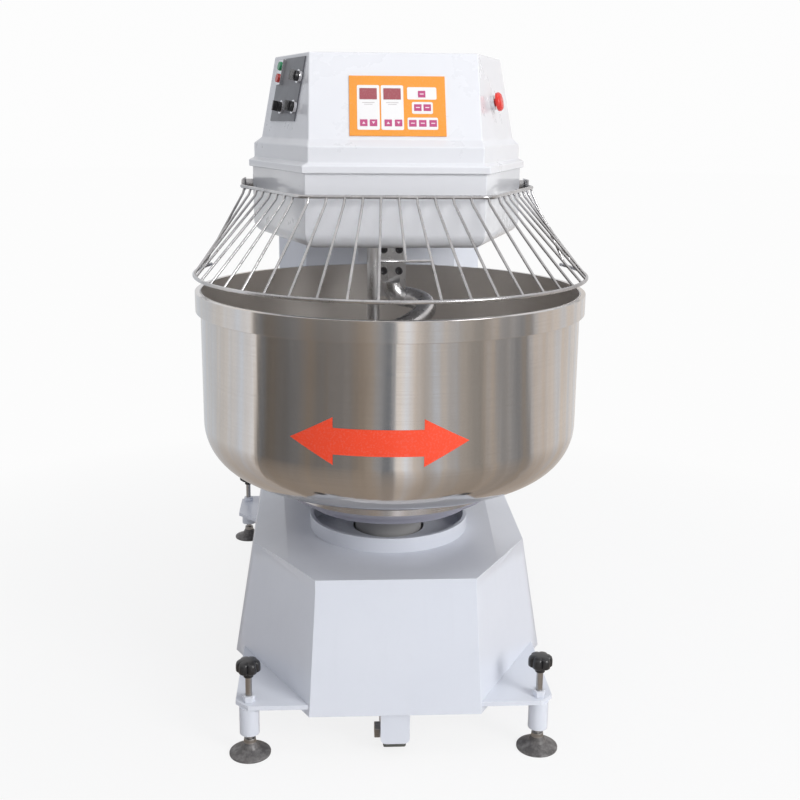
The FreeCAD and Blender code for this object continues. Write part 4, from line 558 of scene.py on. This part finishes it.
def rounded_plate(name, slope, centre, size, corner, thick, finish, steps=6):
    """A thin plate with rounded corners and a softened outer edge, lying on a slope."""
    middle, along, upward, outward = slope
    outline = []
    for k in range(4 * (steps + 1)):
        quarter, part = divmod(k, steps + 1)
        turn = math.radians(90.0 * (quarter + part / steps))
        side_x = (1, -1, -1, 1)[quarter] * (size[0] / 2 - corner)
        side_y = (1, 1, -1, -1)[quarter] * (size[1] / 2 - corner)
        outline.append((side_x, side_y, math.cos(turn), math.sin(turn)))
    shape = bmesh.new()
    rings = []
    for inset, height in ((0.0, 0.0), (0.0, thick * 0.6), (thick * 0.4, thick)):
        ring = []
        for x, y, dx, dy in outline:
            across = along * (centre[0] + x + (corner - inset) * dx)
            up_slope = upward * (centre[1] + y + (corner - inset) * dy)
            ring.append(shape.verts.new(middle + across + up_slope + outward * height))
        rings.append(ring)
    skinned(shape, rings)
    return finished(name, shape, finish, "chassis")


PANEL_NORMAL = (0.0, -0.86431, 0.50296)
dress(["control_panel"], film("panel_orange", colour(0.87, 0.318, 0.022), 0.38), 0.0005, 2)
dress(["panel_displays"], film("window_red", colour(0.36, 0.075, 0.095), 0.10), 0.0003, 2)
dress(["panel_keys"], film("key_magenta", colour(0.50, 0.055, 0.20), 0.30), 0.0003, 2)
field_white = film("field_white", colour(0.86, 0.85, 0.84), 0.32, 0.06)
mark_pale = film("mark_pale", colour(0.88, 0.74, 0.80), 0.35, 0.05)
print_grey = film("print_grey", colour(0.50, 0.45, 0.46), 0.40, 0.10)
panel_face = slope_frame("control_panel", PANEL_NORMAL)
FIELD_CORNER, FIELD_THICKNESS = 0.0035, 0.00035
FIELDS = (  # centre on the panel, size
    ((-0.0605, -0.0045), (0.0465, 0.104)), ((-0.0108, -0.0045), (0.0465, 0.104)),
    ((0.051, 0.029), (0.061, 0.029)), ((0.0515, -0.005), (0.0435, 0.0275)),
    ((0.0515, -0.0415), (0.063, 0.028)),
)
for k, (centre, size) in enumerate(FIELDS):
    field = rounded_plate(f"panel_field_{k}", panel_face, centre, size, FIELD_CORNER,
                          FIELD_THICKNESS, field_white)
# Two short bars under each window stand for the name of its timer.
BAR_HEIGHT, BAR_CORNER, BAR_THICKNESS, ON_FIELD = 0.0013, 0.0005, 0.0002, 0.0003
TIMER_BARS = (  # along, up, width
    (-0.0605, 0.0065, 0.026), (-0.0605, 0.0025, 0.018),
    (-0.0108, 0.0065, 0.026), (-0.0108, 0.0025, 0.018),
)
for k, (x, y, width) in enumerate(TIMER_BARS):
    bar = rounded_plate(f"timer_bar_{k}", lifted(panel_face, ON_FIELD), (x, y),
                        (width, BAR_HEIGHT), BAR_CORNER, BAR_THICKNESS, print_grey, 2)

MARK_THICKNESS, MARK_SINK = 0.0003, 0.0001
keys_top = slope_frame("panel_keys", PANEL_NORMAL)[0]
key_face = lifted(panel_face, (keys_top - panel_face[0]).dot(panel_face[3]) - MARK_SINK)
ARROW_HALF_WIDTH, ARROW_HALF_HEIGHT = 0.0036, 0.0030


def key_arrow(name, centre, turned):
    """A small raised triangle on a timer key: up for longer, down for shorter."""
    middle, along, upward, outward = key_face
    shape = bmesh.new()
    rings = []
    for share, height in ((1.0, 0.0), (0.9, MARK_THICKNESS)):
        ring = []
        for x, y in ((-1, -1), (1, -1), (0, 1)):
            across = along * (centre[0] + ARROW_HALF_WIDTH * share * x)
            up_slope = upward * (centre[1] + ARROW_HALF_HEIGHT * share * turned * y)
            ring.append(shape.verts.new(middle + across + up_slope + outward * height))
        rings.append(ring)
    skinned(shape, rings)
    finished(name, shape, mark_pale, "chassis")


TIMER_KEYS_UP = -0.0405
TIMER_KEYS = ((-0.0703, 1), (-0.0502, -1), (-0.0199, 1), (0.0014, -1))  # along, way it points
for k, (x, turned) in enumerate(TIMER_KEYS):
    key_arrow(f"key_arrow_{k}", (x, TIMER_KEYS_UP), turned)
KEY_BAR_SIZE, KEY_BAR_CORNER = (0.0085, 0.0022), 0.0008
KEY_BARS = ((0.0507, 0.027), (0.042, -0.0045), (0.0615, -0.0045),
            (0.0308, -0.041), (0.0513, -0.041), (0.0728, -0.041))
for k, centre in enumerate(KEY_BARS):
    bar = rounded_plate(f"key_bar_{k}", key_face, centre, KEY_BAR_SIZE, KEY_BAR_CORNER,
                        MARK_THICKNESS, mark_pale, 2)

# ---- Switches ----------------------------------------------------------------------------
# Chromed bezels in a dark plate on the left slope, black rotary knobs, and two lit push
# buttons in one housing; the emergency stop stands on the right slope.


def moulded_group():
    """Moulded plastic or rubber: fine sparkle texture, scuffs, and rubbed edges."""
    group, given, made = shader_group("moulded", [
        ("Color", "Colour", colour(0.03, 0.03, 0.03)),
        ("Color", "Scuff Colour", colour(0.2, 0.2, 0.2)),
        ("Float", "Roughness", 0.4), ("Float", "Scuffs", 0.25), ("Float", "Texture Size", 700.0),
        ("Float", "Texture Height", 0.00006),
    ], [("Color", "Colour"), ("Float", "Roughness"), ("Vector", "Normal")])
    w = Wiring(group)
    place = w.place()
    scuffs = w.span(w.noise(place, scale=48.0, detail=6.0, roughness=0.75), 0.5, 0.78)
    edge = w.node("Group", {"node_tree": EDGE_MASK}, Width=0.0015, Patchiness=0.5)
    worn = w.times(w.maths("MAXIMUM", scuffs, edge.outputs["Mask"]), given["Scuffs"])
    w.join(made["Colour"], w.blend(worn, given["Colour"], given["Scuff Colour"]))
    w.join(made["Roughness"], w.plus(given["Roughness"], w.times(scuffs, 0.2)))
    sparkle = w.noise(place, given["Texture Size"], 3.0, 0.6)
    w.join(made["Normal"], w.bump(sparkle, given["Texture Height"]))
    return group


MOULDED = moulded_group()


def plastic(name, tint, scuffed, roughness=0.35, scuffs=0.2):
    return material(name, MOULDED, {"Colour": tint, "Scuff Colour": scuffed,
                                    "Roughness": roughness, "Scuffs": scuffs}, {})


black_plastic = plastic("black_plastic", colour(0.022, 0.022, 0.024), colour(0.14, 0.14, 0.14),
                        0.28)
plate_grey = plastic("plate_grey", colour(0.165, 0.17, 0.19), colour(0.32, 0.32, 0.33), 0.34)
button_green = plastic("button_green", colour(0.03, 0.30, 0.13), colour(0.2, 0.4, 0.3), 0.22)
button_red = plastic("button_red", colour(0.62, 0.05, 0.04), colour(0.7, 0.3, 0.3), 0.22)
stop_red = plastic("stop_red", colour(0.72, 0.035, 0.025), colour(0.8, 0.3, 0.25), 0.24)
chrome = metal("chrome", {
    "Grain": (200.0, 200.0, 200.0), "Colour": colour(0.80, 0.80, 0.82),
    "Dull Colour": colour(0.5, 0.5, 0.52), "Roughness": 0.06, "Spread": 0.1,
    "Grain Height": 0.00001, "Dulling": 0.2,
})
dress(["switch_plate"], plate_grey, 0.001, 2)
dress(["switch_bezels"], chrome, 0.0012, 3)
dress(["selector_upper", "selector_lower", "selector_rear"], black_plastic, 0.0012, 3)
dress(["green_button"], button_green, 0.001, 3)
dress(["red_button"], button_red, 0.001, 3)
dress(["emergency_stop"], stop_red, 0.002, 4)

# ---- Levelling feet and wheels -----------------------------------------------------------
# Plated screws run through the sleeves, with a black moulded star grip above and a dished
# rubber pad below. The wheels are rubber, in folded forks.

plated_screw = metal("plated_screw", {
    "Grain": (20.0, 20.0, 900.0), "Colour": colour(0.40, 0.39, 0.38),
    "Dull Colour": colour(0.10, 0.09, 0.08), "Roughness": 0.28, "Spread": 0.25,
    "Grain Height": 0.00008, "Dulling": 0.6,
})
GRIP_LEVELS = (  # share of the height, share of the radius, depth of the lobes there
    (0.0, 0.34, 0.0), (0.0, 0.40, 0.0), (0.26, 0.41, 0.0), (0.29, 0.62, 0.4), (0.33, 0.90, 0.9),
    (0.38, 0.985, 1.0), (0.55, 1.0, 1.0), (0.76, 0.985, 1.0), (0.88, 0.93, 1.0),
    (0.95, 0.82, 0.8), (0.985, 0.60, 0.4), (1.0, 0.30, 0.0),
)
LOBES, STEPS_PER_LOBE, LOBE_DEPTH, LOBE_FULLNESS = 6, 12, 0.24, 0.55
GRIP_INSET = 0.0002


def hand_grip(corner):
    """A moulded star grip: hub below, six rounded lobes and a domed top."""
    low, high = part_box(f"jack_grip_{corner}")
    middle = ((low[0] + high[0]) / 2, (low[1] + high[1]) / 2)
    reach = min(high[0] - low[0], high[1] - low[1]) / 2 - GRIP_INSET
    shape = bmesh.new()
    rings = []
    for height, share, depth in GRIP_LEVELS:
        ring = []
        for k in range(LOBES * STEPS_PER_LOBE):
            turn = 2 * math.pi * k / (LOBES * STEPS_PER_LOBE)
            lobe = abs(math.cos(LOBES * turn / 2)) ** LOBE_FULLNESS
            radius = reach * share * (1.0 - LOBE_DEPTH * depth * (1.0 - lobe))
            ring.append(shape.verts.new((
                middle[0] + radius * math.cos(turn), middle[1] + radius * math.sin(turn),
                low[2] + height * (high[2] - low[2]))))
        rings.append(ring)
    skinned(shape, rings)
    made = finished(f"star_grip_{corner}", shape, black_plastic, f"jack_{corner}", 50.0)
    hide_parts(f"jack_grip_{corner}")


PAD_HEIGHT, PAD_EDGE = 0.028, 0.0008
pad_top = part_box("jack_foot_front_left")[0][2] + PAD_HEIGHT


def rubber_pad(w, placed, shader):
    """The pad below the hub is moulded rubber, dark and dusty."""
    _, _, z = straight(w, placed, shader)
    mask = w.span(z, pad_top + PAD_EDGE, pad_top)
    dust = w.span(w.noise(w.place(), scale=60.0, detail=5.0, roughness=0.7), 0.4, 0.7)
    dusty = w.blend(dust, colour(0.085, 0.080, 0.078), colour(0.23, 0.22, 0.215))
    painted_where(w, placed, shader, mask, dusty)


foot_finish = metal("foot_screw_and_pad", {
    "Grain": (20.0, 20.0, 900.0), "Colour": colour(0.46, 0.45, 0.44),
    "Dull Colour": colour(0.12, 0.11, 0.10), "Roughness": 0.28, "Spread": 0.25,
    "Grain Height": 0.00008, "Dulling": 0.5,
}, rubber_pad)
for corner in ("front_left", "front_right", "rear_left", "rear_right"):
    dress([f"jack_foot_{corner}"], foot_finish, 0.001, 2)
    hand_grip(corner)
tyre = plastic("wheel_tyre", colour(0.10, 0.11, 0.10), colour(0.26, 0.26, 0.25), 0.55, 0.4)
dress(["front_wheel", "rear_wheel_left", "rear_wheel_right"], tyre, 0.003, 3)
dress(["wheel_axles"], plated_screw, 0.001, 2)

# ---- Frame, motors, belts and electrical box ---------------------------------------------
# Welded plate in grey primer, a bearing housing in a mid grey (the machine's paint darkened as
# painted shade inside the collar), cast motor housings, rubber belts and a moulded switch box.
# Little of it shows from outside.

primer = material("primer", COATING, {
    "Colour": colour(0.20, 0.215, 0.235), "Edge Wear And Highlight Colour": colour(0.34, 0.33, 0.32),
    "Roughness": 0.5, "Soil": 0.2, "Edge Wear And Highlight": 0.5, "Peel Size": 300.0,
}, {})
# A mid grey, darker than the machine's white: painted shade inside the collar.
housing_paint_and_shade = material("housing_paint_and_shade", COATING, {
    "Colour": colour(0.47, 0.46, 0.45), "Edge Wear And Highlight Colour": colour(0.60, 0.58, 0.56),
    "Roughness": 0.5, "Soil": 0.2, "Edge Wear And Highlight": 0.5, "Peel Size": 300.0,
}, {})
motor_paint = material("motor_paint", COATING, {
    "Colour": colour(0.16, 0.21, 0.27), "Edge Wear And Highlight Colour": colour(0.34, 0.34, 0.34),
    "Roughness": 0.42, "Soil": 0.25, "Edge Wear And Highlight": 0.4, "Peel Size": 200.0, "Peel Height": 0.0002,
}, {})
belt_rubber = plastic("belt_rubber", colour(0.025, 0.025, 0.025), colour(0.10, 0.10, 0.10), 0.6)
box_grey = plastic("box_grey", colour(0.56, 0.57, 0.57), colour(0.4, 0.4, 0.4), 0.4)
dress(["support_frame", "spindle_housing"], primer, 0.001, 2)
dress(["bowl_bearing_housing"], housing_paint_and_shade, 0.001, 2)
dress(["spiral_motor", "bowl_motor"], motor_paint, 0.002, 3)
dress(["drive_belts"], belt_rubber, 0.001, 2)
dress(["electrical_box"], box_grey, 0.002, 3)
dress(["cable_gland"], black_plastic, 0.0008, 2)
dress(["bowl_motor_pulley", "spiral_motor_pulley"], plated_screw, 0.001, 2)

# ---- Studio floor, light and camera ------------------------------------------------------
# A pale floor that runs out to a white background, a large soft lamp from the front right and
# another overhead, an even fill, and a card round the mixer that only polished metal sees.


def disc(name, radius, centre, height, turns=96):
    mesh = bpy.data.meshes.new(name)
    shape = bmesh.new()
    bmesh.ops.create_circle(shape, cap_ends=True, segments=turns, radius=radius,
                            matrix=Matrix.Translation((*centre, height)))
    shape.to_mesh(mesh)
    shape.free()
    made = bpy.data.objects.new(name, mesh)
    bpy.context.scene.collection.objects.link(made)
    return made


def bare_material(name):
    """A material without its shader, with its wiring and the socket for its surface."""
    made = bpy.data.materials.new(name)
    made.use_nodes = True
    tree = made.node_tree
    tree.nodes.remove(tree.nodes["Principled BSDF"])
    return made, Wiring(tree), tree.nodes["Material Output"].inputs["Surface"]


def floor_material():
    """Lit by the lamps for diffuse rays, and running out to white for the eye and for gloss."""
    made, w, surface = bare_material("floor_pale")
    path = w.node("LightPath").outputs
    seen = w.maths("MAXIMUM", w.maths("MAXIMUM", path["Is Camera Ray"], path["Is Glossy Ray"]),
                   path["Is Transmission Ray"])
    place = w.place()
    away = w.vectors("DOT_PRODUCT", place, place)
    lift = w.times(seen, w.span(away, 0.3, 4.0, 0.86, 1.0))
    lit = w.node("BsdfDiffuse", Color=colour(0.86, 0.86, 0.86)).outputs[0]
    white = w.node("Emission", Color=colour(0.975, 0.975, 0.975), Strength=1.0).outputs[0]
    mixed = w.node("MixShader")
    w.join_all(mixed.inputs, (lift, lit, white))
    w.join(surface, mixed.outputs[0])
    return made


floor = disc("floor", radius=30.0, centre=(0.0, 0.0), height=0.0)
floor.data.materials.append(floor_material())

ROOM = (  # share of the way round from behind, brightness, blueness
    (0.0, 0.80, 1.05), (0.09, 0.68, 1.12), (0.16, 0.72, 1.08), (0.22, 0.82, 1.04),
    (0.266, 0.95, 1.00), (0.2725, 0.22, 0.92), (0.295, 0.17, 0.92), (0.335, 0.21, 0.86),
    (0.36, 0.26, 0.82), (0.40, 0.24, 0.82), (0.445, 0.31, 0.82), (0.482, 0.46, 0.90),
    (0.488, 0.21, 1.00), (0.496, 0.22, 1.06), (0.504, 0.98, 1.04), (0.519, 1.13, 0.98),
    (0.528, 0.85, 0.92), (0.545, 0.50, 0.98), (0.556, 0.68, 1.02), (0.578, 0.66, 0.98),
    (0.600, 0.50, 0.98), (0.632, 0.33, 1.04), (0.652, 0.60, 0.86), (0.674, 0.38, 0.84),
    (0.688, 0.43, 0.90), (0.700, 0.32, 0.90), (0.728, 0.33, 0.86), (0.735, 0.72, 0.86),
    (0.80, 0.84, 0.88), (1.0, 0.80, 1.05),
)


def room_group():
    """What polished metal sees round it: dark in front, pale at the sides and overhead."""
    group, given, made = shader_group(
        "room", [("Vector", "Place", (0.0, 0.0, 0.0))], [("Color", "Colour")])
    w = Wiring(group)
    x, y, z = w.node("SeparateXYZ", Vector=given["Place"]).outputs
    turn, out = round_and_out(w, x, y)
    ramp = w.node("ValToRGB", Fac=w.plus(w.maths("DIVIDE", turn, 2 * math.pi), 0.5))
    stops = ramp.color_ramp.elements
    while len(stops) > 1:
        stops.remove(stops[-1])
    for k, (where, level, blue) in enumerate(ROOM):
        stop = stops[0] if k == 0 else stops.new(where)
        stop.position = where
        stop.color = colour(level, level * (0.5 + blue / 2), level * blue)

    flat = w.node("CombineXYZ", X=w.maths("DIVIDE", x, out), Y=w.maths("DIVIDE", y, out),
                  Z=0.0).outputs[0]
    streaks = w.span(w.noise(flat, scale=23.0, detail=4.0, roughness=0.7), 0.34, 0.66, 0.84, 1.17)
    grey = w.node("CombineColor", Red=streaks, Green=streaks, Blue=streaks).outputs[0]
    streaked = w.blend(1.0, ramp.outputs["Color"], grey, "MULTIPLY")
    tints = w.span(w.noise(flat, scale=6.0, detail=3.0, roughness=0.6), 0.40, 0.60)
    warm = w.blend(1.0, streaked, colour(1.04, 0.94, 0.84), "MULTIPLY")
    cold = w.blend(1.0, streaked, colour(0.93, 0.98, 1.06), "MULTIPLY")
    steepness = w.maths("DIVIDE", z, w.length(out, z))
    w.join(made["Colour"], w.blend(w.span(steepness, 0.12, 0.60), w.blend(tints, warm, cold),
                                   colour(0.95, 0.93, 0.92)))
    return group


ROOM_GROUP = room_group()


def room_seen_from(w, place):
    return w.node("Group", {"node_tree": ROOM_GROUP}, Place=place).outputs["Colour"]


card = disc("card", radius=9.0, centre=(0.0, -0.3), height=0.004)
card_grey, w, surface = bare_material("card_grey")
around = w.vectors("SUBTRACT", w.place(), bowl_axis)
near = w.span(w.vectors("LENGTH", around), 0.7, 2.4, 0.75, 0.0)
shown = w.blend(near, room_seen_from(w, around), colour(0.42, 0.345, 0.28))
w.join(surface, w.node("Emission", Color=shown, Strength=1.0).outputs[0])
card.data.materials.append(card_grey)
card.visible_camera = False
card.visible_diffuse = False
card.visible_shadow = False
card.visible_transmission = False

world = bpy.data.worlds.new("studio")
bpy.context.scene.world = world
world.use_nodes = True
w = Wiring(world.node_tree)
path = w.node("LightPath").outputs
backdrop = w.blend(path["Is Camera Ray"], colour(0.45, 0.46, 0.49), colour(0.98, 0.98, 0.98))
mirrored = w.maths("MAXIMUM", path["Is Glossy Ray"], path["Is Transmission Ray"])
sky = w.node("TexCoord").outputs["Generated"]
w.join(world.node_tree.nodes["Background"].inputs["Color"],
       w.blend(mirrored, backdrop, room_seen_from(w, sky)))


def lamp(name, place, target, size, power):
    data = bpy.data.lights.new(name, "AREA")
    data.shape = "DISK"
    data.size = size
    data.energy = power
    made = bpy.data.objects.new(name, data)
    bpy.context.scene.collection.objects.link(made)
    made.location = place
    made.rotation_euler = (Vector(target) - Vector(place)).to_track_quat("-Z", "Y").to_euler()
    return made


MIXER_MIDDLE = (0.0, -0.1, 0.8)
lamp("key_lamp", (3.65, -4.15, 2.78), MIXER_MIDDLE, size=2.4, power=172.0)
top_lamp = lamp("top_lamp", (0.41, -1.22, 5.24), MIXER_MIDDLE, size=3.0, power=60.0)
top_lamp.visible_glossy = False

EYE = (-0.13312, -2.79645, 1.33567)
TURN, TILT, ROLL = -0.0533, 0.246, 0.0081
ahead = Vector((-math.sin(TURN) * math.cos(TILT), math.cos(TURN) * math.cos(TILT),
                -math.sin(TILT)))
level = Vector((math.cos(TURN), math.sin(TURN), 0.0))
above = level.cross(ahead)
right = math.cos(ROLL) * level + math.sin(ROLL) * above
up = math.cos(ROLL) * above - math.sin(ROLL) * level
lens = bpy.data.cameras.new("camera")
lens.sensor_width = 36.0
lens.lens = 50.022
lens.shift_x = 0.0133
camera = bpy.data.objects.new("camera", lens)
bpy.context.scene.collection.objects.link(camera)
facing = Matrix((right, up, -ahead)).transposed().to_4x4()
camera.matrix_world = Matrix.Translation(EYE) @ facing
bpy.context.scene.camera = camera
bpy.context.scene.view_settings.view_transform = "Standard"
